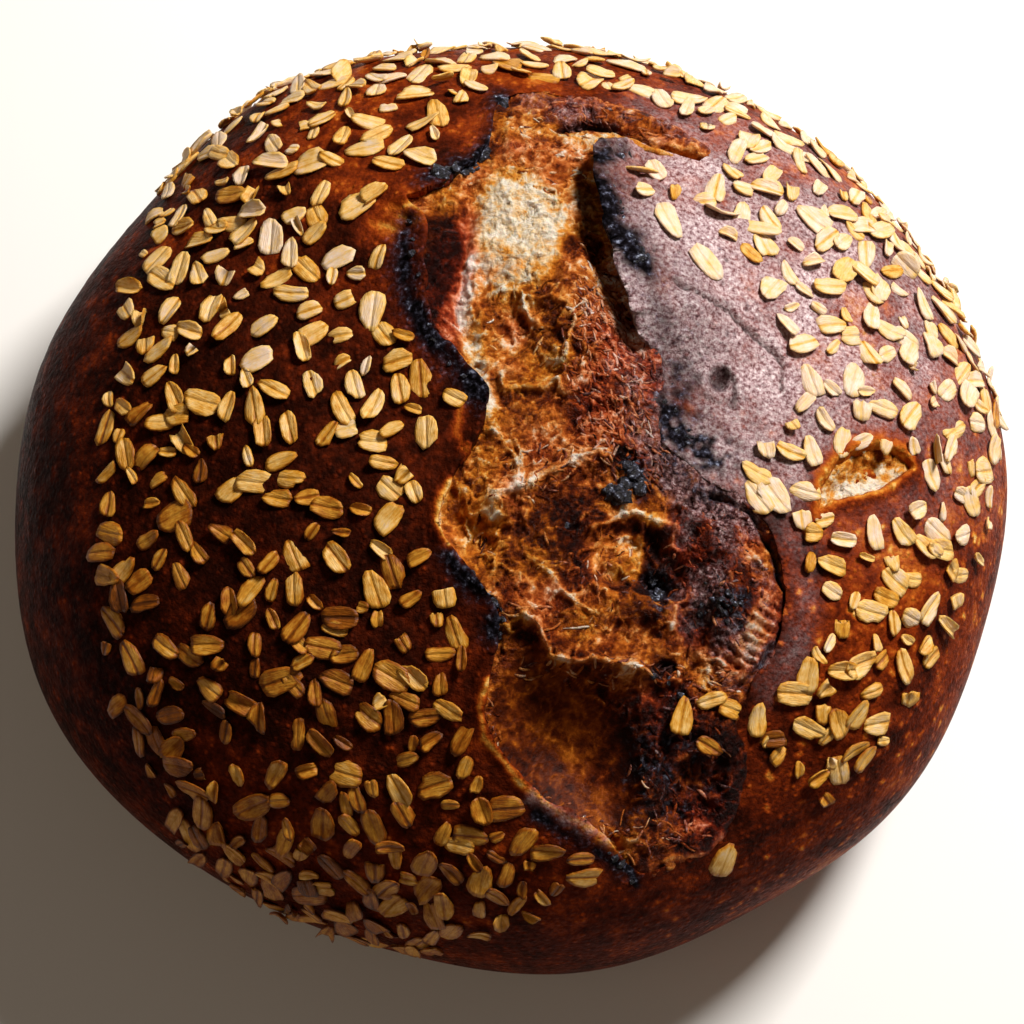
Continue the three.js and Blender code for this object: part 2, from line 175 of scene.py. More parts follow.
def spread_over(x, y, at, half, turn, power=4):
    """1 in the middle of a turned ellipse, falling away round its edge."""
    return np.exp(-(in_ellipse(x, y, at, half, turn) ** power))


def near_line(x, y, line, width):
    """1 on a line of points, falling softly away from it."""
    return np.exp(-((to_line(x, y, line)[0] / width) ** 2))


def step(low, high, value):
    t = np.clip((value - low) / (high - low), 0, 1)
    return t * t * (3 - 2 * t)


def blend(base, over, share):
    return base * (1 - share) + over * share


def dice(ix, iy, iz, seed):
    """A random number from 0 to 1 for a cell: large odd factors stir its place and the seed together."""
    h = (ix * 73856093) ^ (iy * 19349663) ^ (iz * 83492791) ^ (seed * 40503001)
    h = (h ^ (h >> 13)) * 1274126177
    h = (h ^ (h >> 16)) * 974634777
    return ((h ^ (h >> 15)) & 0xFFFFFF) / 0xFFFFFF


def by_cell(points, size, seed):
    """One random number for each cell of the given size."""
    return dice(*np.floor(points / size).astype(np.int64).T, seed)


def mottle(points, size, seed, octaves=1):
    """Soft random unevenness from -1 to 1, with lumps of the given size."""
    total = np.zeros(len(points))
    weight = 0
    for octave in range(octaves):
        q = points / (size / 2**octave) + 37.7 * octave
        cell = np.floor(q).astype(np.int64)
        f = q - cell
        f = f * f * (3 - 2 * f)
        value = 0
        for corner in range(8):
            o = np.array([corner & 1, corner >> 1 & 1, corner >> 2])
            share = np.prod(np.where(o, f, 1 - f), axis=1)
            value = value + share * dice(*(cell + o).T, seed + octave)
        total += (2 * value - 1) / 2**octave
        weight += 1 / 2**octave
    return total / weight


def bubbles(points, size, seed):
    """Distance to the nearest and the second nearest of scattered centres, in shares of their spacing."""
    q = points / size
    cell = np.floor(q).astype(np.int64)
    first, second = np.full(len(q), 9.0), np.full(len(q), 9.0)
    for dx in (-1, 0, 1):
        for dy in (-1, 0, 1):
            for dz in (-1, 0, 1):
                c = cell + np.array([dx, dy, dz])
                centre = c + np.stack([dice(*c.T, seed + k) for k in range(3)], axis=1)
                d = np.linalg.norm(q - centre, axis=1)
                second = np.minimum(second, np.maximum(first, d))
                first = np.minimum(first, d)
    return first, second


def rounded_loop(corners, spacing):
    """The corners joined by a smooth closed curve, cut into short even steps."""
    ring = [Vector((*c, 0)) for c in corners]
    ring = [ring[-1], *ring, ring[0], ring[1]]
    fine = []
    for a, b, c, d in zip(ring, ring[1:], ring[2:], ring[3:]):
        cuts = max(1, round((c - b).length / spacing))
        for k in range(cuts):
            t = k / cuts
            p = b * 2 + (c - a) * t + (2 * a - 5 * b + 4 * c - d) * t * t + (3 * b - a - 3 * c + d) * t**3
            fine.append((p.x / 2, p.y / 2))
    return fine


TORN_CORNERS = LEFT_LIP + RIGHT_EDGE
torn = np.array(rounded_loop(TORN_CORNERS, TORN_STEP))
ragged = np.stack([mottle(np.c_[torn, 0 * torn[:, 0]], 3.2, s, 2) for s in (11, 12)], axis=1)
TORN_EDGE = [tuple(p) for p in torn + RAGGED_BY * ragged]


def past_edge(x, y):
    """Distance outside the torn edge, less than 0 inside it, and the way to the edge."""
    distance, _, near_x, near_y = to_line(x, y, TORN_EDGE + TORN_EDGE[:1])
    side = np.where(is_inside(x, y, TORN_EDGE), -1, 1)
    away = np.maximum(distance, 1e-6)
    return side * distance, side * (near_x - x) / away, side * (near_y - y) / away, near_x, near_y


def standing(x, y):
    """1 where the crust's edge stands over the crumb as a lip, less where the crumb runs up flush to it."""
    low_right = step(25, 33, x) * step(27, 15, y)
    groove = near_line(x, y, [(60, -24), (64, -40), (58, -57)], 6)
    behind = step(-6, 6, x) * step(70, 78, y)
    return 1 - low_right * (0.92 - 0.6 * groove) - 0.85 * behind


def taper(along):
    return np.minimum(1, np.minimum(5 * along, 5 * (1 - along)))


def crust_lift(x, y):
    lift = 0.7 * (np.sin(x / 17 + 1.3) * np.sin(y / 21) + np.sin((x + y) / 11) * 0.5)
    distance, along, _, _ = to_line(x, y, LEFT_LIP)
    lift = lift + LIP_FLARE[0] * np.exp(-distance / LIP_FLARE[1]) * taper(along)
    distance, along, _, _ = to_line(x, y, EAR_EDGE)
    ear = EAR_FLARE[0] * np.exp(-((distance / EAR_FLARE[1]) ** 2)) * taper(along)
    return lift + np.where(x > EAR_EDGE[0][0] - 14, ear, 0)


def crust_point(direction):
    point = body_point(direction)
    point[:, 2] += crust_lift(point[:, 0], point[:, 1]) * step(0.05, 0.45, direction[:, 2])
    return point


def crust_spacing(point, rise):
    """How fine the mesh needs to be: finest at the torn edge and on the ear, coarse on the underside."""
    x, y = point[:, 0], point[:, 1]
    size = np.where(rise > -0.15, TOP_CELL, np.where(point[:, 2] > 8, SIDE_CELL, BASE_CELL))
    at_ear = in_ellipse(x, y, (46, 26), (38, 23), 117) < 1
    at_side_tear = in_ellipse(x, y, (83, -10), (17, 11), 24) < 1
    size = np.where((at_ear | at_side_tear) & (rise > 0.2), EAR_CELL, size)
    near = (rise > 0.4) & (np.abs(x - 18) < 60) & (np.abs(y + 5) < 115)
    beyond = past_edge(x[near], y[near])[0]
    growing = EDGE_CELL + 0.1 * (np.abs(beyond + 0.5) - 1.2)
    fine = np.minimum(size[near], np.clip(growing, EDGE_CELL, TOP_CELL))
    size[near] = np.where(beyond < -2.6, HIDDEN_CELL, fine)
    return size


CRUST_ROUNDS = 4
skin = bmesh.new()
bmesh.ops.create_icosphere(skin, subdivisions=6, radius=1)
for v in skin.verts:
    v.co = (v.co + Vector(CRUST_PULL)).normalized()
for _ in range(CRUST_ROUNDS):
    skin.verts.index_update()
    skin.edges.ensure_lookup_table()
    ways = np.array([v.co[:] for v in skin.verts])
    ends = np.array([(e.verts[0].index, e.verts[1].index) for e in skin.edges])
    middle = ways[ends].mean(axis=1)
    middle /= np.linalg.norm(middle, axis=1)[:, None]
    laid = body_point(ways)
    length = np.linalg.norm(laid[ends[:, 0]] - laid[ends[:, 1]], axis=1)
    long = length > 1.35 * crust_spacing(body_point(middle), middle[:, 2])
    cut = [skin.edges[i] for i in np.nonzero(long)[0]]
    bmesh.ops.subdivide_edges(skin, edges=cut, cuts=1, use_grid_fill=True)
    bmesh.ops.triangulate(skin, faces=[f for f in skin.faces if len(f.verts) > 3])
for _ in range(2):
    bmesh.ops.smooth_vert(
        skin, verts=skin.verts, factor=0.5, use_axis_x=True, use_axis_y=True, use_axis_z=True
    )
    for v in skin.verts:
        v.co.normalize()
bmesh.ops.recalc_face_normals(skin, faces=skin.faces)
ways = np.array([v.co[:] for v in skin.verts])

# The vertices nearest the torn edge are drawn onto it, so that the lip has one clean crest.
laid = body_point(ways)
top = ways[:, 2] > 0.25
beyond = np.full(len(ways), FAR_OFF)
to_edge = np.zeros((len(ways), 2))
close = np.nonzero(top & (np.abs(laid[:, 0] - 18) < 75) & (np.abs(laid[:, 1] + 5) < 125))[0]
gap, way_x, way_y, edge_x, edge_y = past_edge(laid[close, 0], laid[close, 1])
crest = np.abs(gap) < EDGE_SNAP
ways[close[crest]] = plan_direction(edge_x[crest], edge_y[crest])
beyond[close] = np.where(crest, 0, gap)
to_edge[close] = np.stack([way_x, way_y], axis=1)

point = crust_point(ways)
x, y = point[:, 0].copy(), point[:, 1].copy()
visible = step(-0.2, 0.1, ways[:, 2])
is_ear = top & (x > 8) & (y > 4)
edge_near = np.exp(-np.maximum(beyond, 0) / 2.6)
on_ear = np.where(is_ear, near_line(x, y, EAR_EDGE, 3.5), 0)
bare = np.exp(-np.maximum(0, in_ellipse(x, y, (46, 27), (30, 17), 117) - 0.6) ** 2 / 0.09) * top

# Blisters, the striped band of bare skin beside the left lip, wrinkles and cracks on the ear.
blister = bubbles(point, BLISTER_SPACING, 5)[0]
blister_size = by_cell(point, BLISTER_SPACING, 3)
in_band = near_line(x, y, BARE_BAND, 5.2) * taper(to_line(x, y, BARE_BAND)[1] * 0.9 + 0.1)
in_band *= top * (beyond > -1)
striped = mottle(np.c_[x * 0.45 + y * 0.9, (y * 0.45 - x * 0.9) * 0.2, 0 * x], 1.5, 26, 2)
relief = 0.36 * np.clip(1 - blister / 0.42, 0, 1) ** 0.7 * (1 - bare) * (1 - in_band)
relief += 0.2 * mottle(point, 2.8, 21, 2) + 0.5 * mottle(point, 11, 22, 2)
relief += edge_near * (0.6 * mottle(point, 2.0, 23, 2) + 0.6 * mottle(point, 5.0, 24))
relief += on_ear * (1.5 * mottle(point, 3.0, 25, 3) + 0.5)
relief += bare * (0.3 * mottle(point, 1.8, 27, 2) - 0.5 * np.abs(mottle(point, 7, 30, 2)))
relief += in_band * (0.7 * striped - 0.9)
relief += 0.9 * np.exp(-((np.minimum(beyond, 30) - 0.6) / 1.5) ** 2) * (x < 26) * standing(x, y)
ring = np.hypot(x - WRINKLES_AT[0], y - WRINKLES_AT[1])
relief += 0.45 * np.cos(ring * 2 * math.pi / WRINKLE_SPACING) * np.exp(-((ring / 7) ** 2)) * is_ear
wavy_x, wavy_y = x + 1.2 * mottle(point, 4, 28), y + 1.2 * mottle(point, 4, 29)
crack = near_line(wavy_x, wavy_y, EAR_CRACK, 0.45) * top
crease = near_line(x, y, DIMPLE_CREASE, 0.7) * top
dimple = np.clip(1 - in_ellipse(x, y, **DIMPLE) ** 2, 0, 1) * top
pore = np.clip(1 - bubbles(point, PORE_SPACING, 34)[0] / 0.24, 0, 1)
pore *= (by_cell(point, PORE_SPACING, 35) > 0.5) * bare
relief -= 1.1 * crack + 1.1 * crease + 3.6 * dimple + 0.9 * pore
relief += 0.7 * np.exp(-((in_ellipse(x, y, (48.5, 11), (3.6, 4.2)) - 1) / 0.3) ** 2) * top
relief += 0.5 * near_line(wavy_x - 1.2, wavy_y - 1.6, EAR_CRACK, 1.4) * top


def past_side_tear(x, y):
    """Distance outside the side tear's edge, less than 0 inside it."""
    loop = SIDE_TEAR_EDGE
    return to_line(x, y, loop + loop[:1])[0] * np.where(is_inside(x, y, loop), -1, 1)


tear = past_side_tear(x + 0.5 * mottle(point, 3, 31, 2), y + 0.5 * mottle(point, 3, 32, 2))
tear = np.where(top, tear, FAR_OFF)
relief -= 4.6 * step(0.4, -1.6, tear)
relief += (1.0 + 0.7 * mottle(point, 2.4, 36, 2)) * np.exp(-((tear - 0.9) / 1.3) ** 2)
point[:, 2] += relief * visible * (point[:, 2] > 1)

# The wall below the lip, and the lip drawn out over the opening.
down = step(0, -WALL, beyond)
pit = dome_height(x, y) - PIT_DEPTH
point[:, 2] = np.where(beyond < 0, blend(point[:, 2], pit, down), point[:, 2])
overhang = (1.1 + 1.9 * on_ear + 0.5 * mottle(point, 4, 33)) * standing(x, y)
draw = np.exp(-np.maximum(beyond, 0) / 2.2) * (1 - 1.7 * down) * (beyond > -2.2) * (beyond < 12)
point[:, 0] += to_edge[:, 0] * overhang * draw
point[:, 1] += to_edge[:, 1] * overhang * draw


def into_mesh(name, bm, point):
    """Puts the moved points, in millimetres, into the bmesh and makes it a smooth-shaded object."""
    for v, p in zip(bm.verts, point * MM):
        v.co = p
    mesh = bpy.data.meshes.new(name)
    bm.to_mesh(mesh)
    bm.free()
    mesh.shade_smooth()
    piece = bpy.data.objects.new(name, mesh)
    bpy.context.scene.collection.objects.link(piece)
    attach(piece, "root")
    return piece


def paint(piece, **shares):
    """Stores how browned, charred and so on each point is, for the material to read."""
    for name, share in shares.items():
        layer = piece.data.attributes.new(name, "FLOAT", "POINT")
        layer.data.foreach_set("value", np.clip(share, 0, 1).astype(np.float32))


crust = into_mesh("crust", skin, point)

# Browned in blotches, and paler round the side tear. Darker to the left and paler to the back and to the
# right,
# towards the key light: partly the crust's own browning and partly painted shade.
north_east = step(-60, 75, x + 0.5 * y)
browning = 0.9 - 0.19 * north_east + 0.1 * mottle(point, 16, 41, 2) + 0.09 * mottle(point, 6, 42, 2)
browning += 0.07 * step(-5, -45, x) * step(-104, -84, x) * step(70, 30, y) * step(-100, -60, y)
browning -= 0.11 * step(-40, -100, y)
browning -= 0.16 * spread_over(x, y, (86, -34), (26, 15), 65, 2)
browning -= 0.1 * step(96, 118, x) * step(30, 0, y) * visible
browning -= 0.3 * np.clip(mottle(point, 9, 50, 2) - 0.12, 0, 1) * step(-20, 40, y) * visible
browning -= 0.12 * step(-0.1, 0.5, mottle(point, 12, 45, 2)) * step(30, 90, x)
sheltered = step(-84, -104, x) * step(70, 35, y) * visible
browning -= 0.2 * np.clip(1 - bubbles(point * [1, 0.7, 1], 6, 57)[0] / 0.42, 0, 1) * sheltered
low_right = step(20, -30, y) * step(15, 60, x) * visible
browning += (0.05 + 0.3 * np.clip(mottle(point, 10, 53, 2), 0, 1)) * low_right
back_left = step(30, 60, y) * step(-10, -40, x) * visible
browning -= 0.42 * np.clip(mottle(point, 13, 55, 3) + 0.15, 0, 1) * back_left
browning = blend(np.clip(browning, 0, 0.95), 0.36 + 0.3 * striped, in_band)
low_side = step(-0.3, 0.5, (x - 84) * 0.41 - (y + 8) * 0.91)
browning -= (0.26 - 0.2 * low_side) * np.exp(-((np.maximum(tear, 0) / 3.4) ** 2))
browning = blend(browning, 0.4 + 0.16 * mottle(point, 3, 48, 2), np.exp(-((tear - 0.3) / 0.9) ** 2))
for line, width, brown in PALE_EDGES:
    browning = blend(browning, brown, near_line(x, y, line, width) * (beyond > -0.3) * top)
# Darker in the ear's crack, in the crease and in the dimple: painted shade in these hollows.
browning += 0.3 * (crack + crease + dimple) - 0.25 * low_right * (blister < 0.2)
browning -= 0.1 * near_line(wavy_x, wavy_y, EAR_NICK, 2.0)

# Burnt black along the lips, and patchily on the ear and at its foot. The ash tones hold painted glints, and
# the blue-grey patch beside the ear's foot is mostly painted glints.
coal = sum(black * near_line(x, y, line, width) for line, width, black in CHARRED_EDGES)
coal *= top * (beyond > -WALL) * (beyond < 20) * (1.05 + 0.6 * mottle(point, 3.5, 43, 2))
ear_foot = spread_over(x, y, (43, -5), (13, 6), -15) * top
coal += 0.6 * ear_foot * (0.8 + 1.6 * mottle(point, 1.8, 47, 2))
blue_grey = spread_over(x, y, (39, 7), (8, 15), 12) * top * (beyond > 0)
# The dimple is also made blacker here: painted shade.
coal += 0.34 * blue_grey * (0.7 + 1.8 * mottle(point, 2.4, 56, 2)) + 0.2 * dimple

# Flour that stayed on the dough has baked to a dusty mauve on the high ground round the ear; a painted
# sheen with painted glints lies in the same layer.
pinkish = near_line(x, y, [(4, -86), (11, -90), (21, -95)], 1.0) * (0.6 + mottle(point, 2, 51)) * top
pinkish += near_line(x, y, [(-8, 67), (-6, 67)], 1.5) * top
dusted_and_sheened = spread_over(x, y, (66, 36), (56, 40), -40) * step(10, 24, x - 0.1 * y)
dusted_and_sheened = np.maximum(dusted_and_sheened, 0.7 * spread_over(x, y, (66, -8), (18, 10), 0))
dusted_and_sheened *= (0.75 - 0.3 * step(66, 92, x)) * (1 + mottle(point, 10, 46, 2))
below_ear = spread_over(x, y, (45, -3), (19, 12), -12) * top
dust_and_sheen_amount = 0.74 + 0.45 * mottle(point, 4.4, 44, 3) - 0.25 * step(40, 28, x)
bloom = np.maximum(np.maximum(bare, below_ear) * dust_and_sheen_amount, dusted_and_sheened) + 0.3 * on_ear + 0.6 * pinkish
# Less dust in the crack, the crease and the dimple leaves them darker: painted shade.
bloom *= 1 - np.clip(0.8 * crack + 0.8 * crease + 0.5 * dimple, 0, 1)
bloom *= 1 - 0.85 * near_line(wavy_x, wavy_y, EAR_NICK, 2.2) - 0.5 * dimple
bloom *= step(1, 7, tear)
beside_fold = near_line(x, y, [(60, -18), (67, -27), (69, -39), (67, -50), (60, -60)], 3)
bloom += 0.14 * beside_fold * (0.8 + 0.6 * mottle(point, 4, 49))
# The pores are painted black: painted shade in the small holes.
paint(
    crust,
    browning=browning,
    coal=np.maximum(coal, 0.85 * np.clip(pore * 1.6, 0, 1)) * visible,
    bloom=np.clip(bloom, 0, 1) * top,
    blister=np.clip(1 - blister / 0.36, 0, 1) * (blister_size > 0.35) * (1 - 0.8 * bare) * (1 - in_band),
)

CRUST_BROWNS = [
    (0.00, "#e6d8b4"), (0.16, "#dcb672"), (0.30, "#cc8a35"), (0.45, "#ab5518"),
    (0.60, "#7f2f0b"), (0.74, "#541b08"), (0.88, "#361005"), (1.00, "#1e0803"),
]
CRUST_DUST_AND_SHEEN = [(0.3, "#40262a"), (0.41, "#846264"), (0.49, "#ae9496"), (0.58, "#ccb6b6"), (0.71, "#f4e8e6")]
CRUST_ASH_AND_GLINTS = [(0.4, "#060405"), (0.52, "#141116"), (0.62, "#33333f"), (0.74, "#888ea2")]


def colour(hex_code):
    """An sRGB hex colour as linear red, green, blue and alpha."""
    parts = [int(hex_code[i : i + 2], 16) / 255 for i in (1, 3, 5)]
    return [c / 12.92 if c <= 0.04045 else ((c + 0.055) / 1.055) ** 2.4 for c in parts] + [1]


def grain(size):
    """A pattern's scale, from the size of its grain in millimetres."""
    return 1 / (size * MM)


def feed(tree, node, inputs):
    """Gives each input of a node its value, or links it to the socket that feeds it."""
    for key, value in inputs.items():
        if isinstance(value, bpy.types.NodeSocket):
            tree.links.new(value, node.inputs[key])
        else:
            node.inputs[key].default_value = value


def add(tree, kind, inputs, stops=(), gives=0, **settings):
    """Adds a node with its settings, links and colour stops, and returns the socket that it gives."""
    node = tree.nodes.new("ShaderNode" + kind)
    for name, value in settings.items():
        setattr(node, name, value)
    feed(tree, node, inputs)
    if stops:
        ramp = node.color_ramp.elements
        while len(ramp) < len(stops):
            ramp.new(0.5)
        for element, (place, code) in zip(ramp, stops):
            element.position = place
            element.color = colour(code)
    return node.outputs[gives]


def new_material(name):
    material = bpy.data.materials.new(name)
    material.use_nodes = True
    return material, material.node_tree, material.node_tree.nodes["Principled BSDF"]


def painted(tree, *names):
    """The shares that are painted on a piece, for its material to read."""
    return {name: add(tree, "Attribute", {}, gives="Fac", attribute_name=name) for name in names}


def made_uneven(tree, browning, *noises):
    """How browned the surface is, with each noise added by its share."""
    for noise, by in noises:
        centred = add(tree, "Math", {0: noise, 1: -0.5}, operation="ADD")
        browning = add(tree, "Math", {0: centred, 1: by, 2: browning}, operation="MULTIPLY_ADD")
    return browning


def dusted_sheened_and_burnt(tree, place, share, baked, dust_and_sheen_size, dust_and_sheen_tones, ash_and_glints):
    """The baked colour under flour dust with painted sheen, and under ash with painted glints where it
    burnt.

    A colour mix takes its share at socket 0 and its colours at 6 and 7, and gives them at 2."""
    for layer, size, broken, stops in (("bloom", dust_and_sheen_size, 0.7, dust_and_sheen_tones), ("coal", 1.429, 0.6, ash_and_glints)):
        noise = {"Vector": place, "Scale": grain(size), "Detail": 4, "Roughness": broken}
        tones = add(tree, "ValToRGB", {"Fac": add(tree, "TexNoise", noise)}, stops)
        baked = add(tree, "Mix", {0: share[layer], 6: baked, 7: tones}, gives=2, data_type="RGBA")
    return baked


# Baked wheat crust: a skin of set starch, brown in blotches, with fine specks and paler blisters. Flour that
# stayed on it is a dusty haze with painted sheen and glints in it, the burnt parts are ash grey on black
# with painted blue-grey glints, and it has almost no shine.
material, tree, surface = new_material("baked wheat crust")
place = add(tree, "TexCoord", {}, gives="Object")
share = painted(tree, "browning", "coal", "bloom", "blister")
fine = add(tree, "TexNoise", {"Vector": place, "Scale": grain(1.613), "Detail": 5, "Roughness": 0.62})
broad = add(tree, "TexNoise", {"Vector": place, "Scale": grain(6.667), "Detail": 4, "Roughness": 0.6})
specks = add(tree, "TexVoronoi", {"Vector": place, "Scale": grain(2.381), "Randomness": 1})
speck = add(tree, "MapRange", {"Value": specks, "From Min": 0.32, "From Max": 0.08})
patchy = made_uneven(tree, share["browning"], (fine, 0.5), (broad, 0.55))
lifted = add(tree, "Math", {0: share["blister"], 1: -0.2, 2: patchy}, operation="MULTIPLY_ADD")
dotted = add(tree, "Math", {0: speck, 1: -0.13, 2: lifted}, operation="MULTIPLY_ADD")
brown = add(tree, "ValToRGB", {"Fac": dotted}, CRUST_BROWNS)
burnt = dusted_sheened_and_burnt(tree, place, share, brown, 1.0, CRUST_DUST_AND_SHEEN, CRUST_ASH_AND_GLINTS)
fine_to_dull = {"Value": fine, "From Min": 0.3, "From Max": 0.7, "To Min": 0.26, "To Max": 0.5}
dull = add(tree, "MapRange", fine_to_dull)
rough = add(tree, "Math", {0: share["coal"], 1: -0.1, 2: 1.0}, operation="MULTIPLY_ADD")
height = add(tree, "Math", {0: fine, 1: rough}, operation="MULTIPLY")
height = add(tree, "Math", {0: speck, 1: 0.3, 2: height}, operation="MULTIPLY_ADD")
bump = add(tree, "Bump", {"Height": height, "Strength": 0.85, "Distance": 1.1 * MM})
feed(tree, surface, {"Base Color": burnt, "Roughness": dull, "Normal": bump})
feed(tree, surface, {"IOR": 1.45, "Specular IOR Level": 0.01})
crust.data.materials.append(material)

# ---------------------------------------------------------------- torn crumb
# The bread that the oven pushed out through the score: soft dough torn open, then toasted. Bubbles are cut
# through to glossy skins, strands cross them, and it browns from cream in the shelter of the ear to nearly
# black at the front. It is a slab with a torn top, and lies under the crust at its edges.
CRUMB_BELOW_CRUST = 1.8
CRUMB_FORMS = [
    ((20, 30), (46, 24), 90, 4), ((1, 50), (17, 13), 90, 1.5), ((2, 23), (11, 9), 60, -3.5),
    ((8, 14), (6, 5), 30, -2.5), ((-9, -26), (13, 9), 100, -4.5), ((13, -73), (25, 18), -50, -11),
    ((30, -33), (15, 10), -10, -6), ((25, -32), (6, 5), 0, 4), ((28, -49), (11, 5), 0, -2.5),
    ((51, -40), (22, 13), 100, 5.5), ((43, -82), (18, 12), -60, -3),
]
CRUMB_LINES = [
    ([(-2, -47), (2, -45), (6, -48), (10, -54), (21, -56), (35, -58)], 3, 3),
    ([(-9, -20), (7, -14), (25, -7)], 3.5, 2.6),
    ([(8, 76), (13, 79), (20, 80), (28, 79), (35, 75), (44, 73)], 3.2, -4),
    ([(19, 60), (20, 50), (23, 40), (27, 28), (30, 20)], 4.5, -4),
    ([(52, -20), (58, -28), (61, -37), (60, -46), (55, -55)], 3, -3),
]
CRUMB_CELL, CRUMB_UNDERLAP = 0.43, 2.2
BUBBLE_SPACING, RIB_SPACING = 5.6, 2.3
FOLD_CREASE = [(48, -17), (56, -21), (62, -27), (64, -39), (61, -50), (53, -60)]
BEHIND_CRACK = [(10, 79), (17, 81), (24, 80.3), (31, 76.8), (38, 74), (46, 71)]
BEHIND_BAND = [(4, 72), (12, 75.5), (20, 76.5), (28, 75), (37, 73), (44, 70)]
LIP_VALLEY = [(-8, 60), (-10.5, 54), (-11.5, 45), (-11.5, 36), (-11, 27), (-9, 18), (-7, 11)]


def patch(x, y, at, half, turn=0, edge=0.35):
    """1 in the middle of a turned ellipse, falling softly to 0 past its edge."""
    return step(1 + edge, 1 - edge, in_ellipse(x, y, at, half, turn))


def crumb_lift(x, y):
    lift = np.full(x.shape, -CRUMB_BELOW_CRUST)
    for at, half, turn, height in CRUMB_FORMS:
        share = np.minimum(1, in_ellipse(x, y, at, half, turn))
        lift = lift + height * (1 - share * share) ** 1.5
    for line, width, height in CRUMB_LINES:
        lift = lift + height * near_line(x, y, line, width)
    return lift


slab = bmesh.new()
west, east, south, north = -32, 98, -108, 96
cells = round((east - west) / CRUMB_CELL), round((north - south) / CRUMB_CELL)
bmesh.ops.create_grid(slab, x_segments=cells[0], y_segments=cells[1], size=0.5)


def in_plan(verts):
    """Where vertices of the slab's grid lie in the loaf's plan."""
    flat = np.array([v.co[:2] for v in verts])
    return west + (flat[:, 0] + 0.5) * (east - west), south + (flat[:, 1] + 0.5) * (north - south)


x, y = in_plan(slab.verts)
beside = past_side_tear(x, y)
beyond = np.full(len(x), FAR_OFF)
beyond[x < 70] = past_edge(x[x < 70], y[x < 70])[0]
beyond = np.minimum(beyond, beside)
kept = beyond <= CRUMB_UNDERLAP
slab.verts.ensure_lookup_table()
bmesh.ops.delete(slab, geom=[slab.verts[i] for i in np.nonzero(~kept)[0]], context="VERTS")
x, y, beyond, in_side = x[kept], y[kept], beyond[kept], beside[kept] < CRUMB_UNDERLAP
flat = np.stack([x, y, 0 * x], axis=1)

# Where each kind of torn crumb shows.
wander = np.stack([mottle(flat, 9, s, 3) for s in (51, 52)], axis=1) * 3.2
wx, wy = x + wander[:, 0], y + wander[:, 1]
is_bowl = patch(wx, wy, (12, -73), (21, 14.5), -52, 0.12)
is_crater = patch(wx, wy, (30, -33), (14, 9), -10, 0.2)
is_pocket = patch(wx, wy, (-6, -25), (10, 9), 100, 0.3)
is_cream = patch(wx, wy, (1, 50), (15, 10.5), 85, 0.3)
is_strands = patch(wx, wy, (27, 14), (28, 12), 84, 0.35)
is_fold = patch(wx, wy, (50, -38), (22, 13), 105, 0.25)
is_front = patch(wx, wy, (45, -80), (20, 12), -62, 0.4)
is_behind = patch(wx, wy, (24, 84), (26, 6.5), -12, 0.3)
open_crumb = np.clip(1 - is_bowl - 0.6 * is_strands - 0.5 * is_fold, 0, 1)

# Torn detail: webs and threads of stretched dough, cut bubbles, matted fibres, crumbs.
tangled = flat + np.c_[wander * 0.9, 0 * x]
tangled += 1.5 * np.stack([mottle(flat, 2.6, s, 2) for s in (62, 63, 64)], axis=1)
first, second = bubbles(tangled, BUBBLE_SPACING, 61)
cut_open = step(-0.1, 0.35, mottle(flat, 11, 68, 2)) * open_crumb
wall = np.clip(1 - (second - first) / 0.12, 0, 1) * cut_open
hollow = np.clip(1 - first / 0.5, 0, 1) * cut_open
webs = [
    np.clip(1 - np.abs(mottle(tangled, size, seed, 2)) * sharp, 0, 1)
    for size, seed, sharp in ((6.5, 74, 9), (3.2, 76, 7), (1.7, 78, 5))
]
pulled_x, pulled_y = x + 2.4 * mottle(flat, 4.4, 71, 2), y + 2.4 * mottle(flat, 4.4, 72, 2)
strand = -0.3
for c, s, start, size, seed in ((0.87, 0.5, 0, 1.5, 73), (0.64, 0.77, 9, 1.9, 75)):
    along, across = (pulled_y * c - pulled_x * s) * 0.34, pulled_x * c + pulled_y * s
    fibre = 1 - np.abs(mottle(np.c_[across, along, 0 * x + start], size, seed, 2)) * 3
    strand = np.maximum(strand, np.minimum(fibre, 1))
rough = mottle(flat, 1.2, 81, 2)
not_bowl = 1 - 0.85 * is_bowl
relief = 0.6 * wall - 1.2 * hollow + not_bowl * (0.9 * webs[0] + 0.6 * webs[1] + 0.25 * webs[2])
relief += (0.2 + 0.75 * is_strands + 0.4 * is_fold + 0.4 * is_front) * strand * not_bowl
relief += (0.36 * rough + 1.3 * mottle(flat, 7, 82, 2) + 0.7 * mottle(flat, 3.4, 83)) * not_bowl
# The torn face below the left lip slopes down from the crest to a valley, and then the crumb rises again.
face = np.clip(1 - np.maximum(0, -beyond) / 7, 0, 1) * step(66, 58, y) * step(4, 14, y) * (x < 0)
relief += 2.2 * face**1.5 - 2.2 * near_line(wx, wy, LIP_VALLEY, 2.2)
relief += is_fold * (0.55 * mottle(flat, 2.2, 84, 2) + 0.5 * np.abs(mottle(flat, 5, 85, 2)))

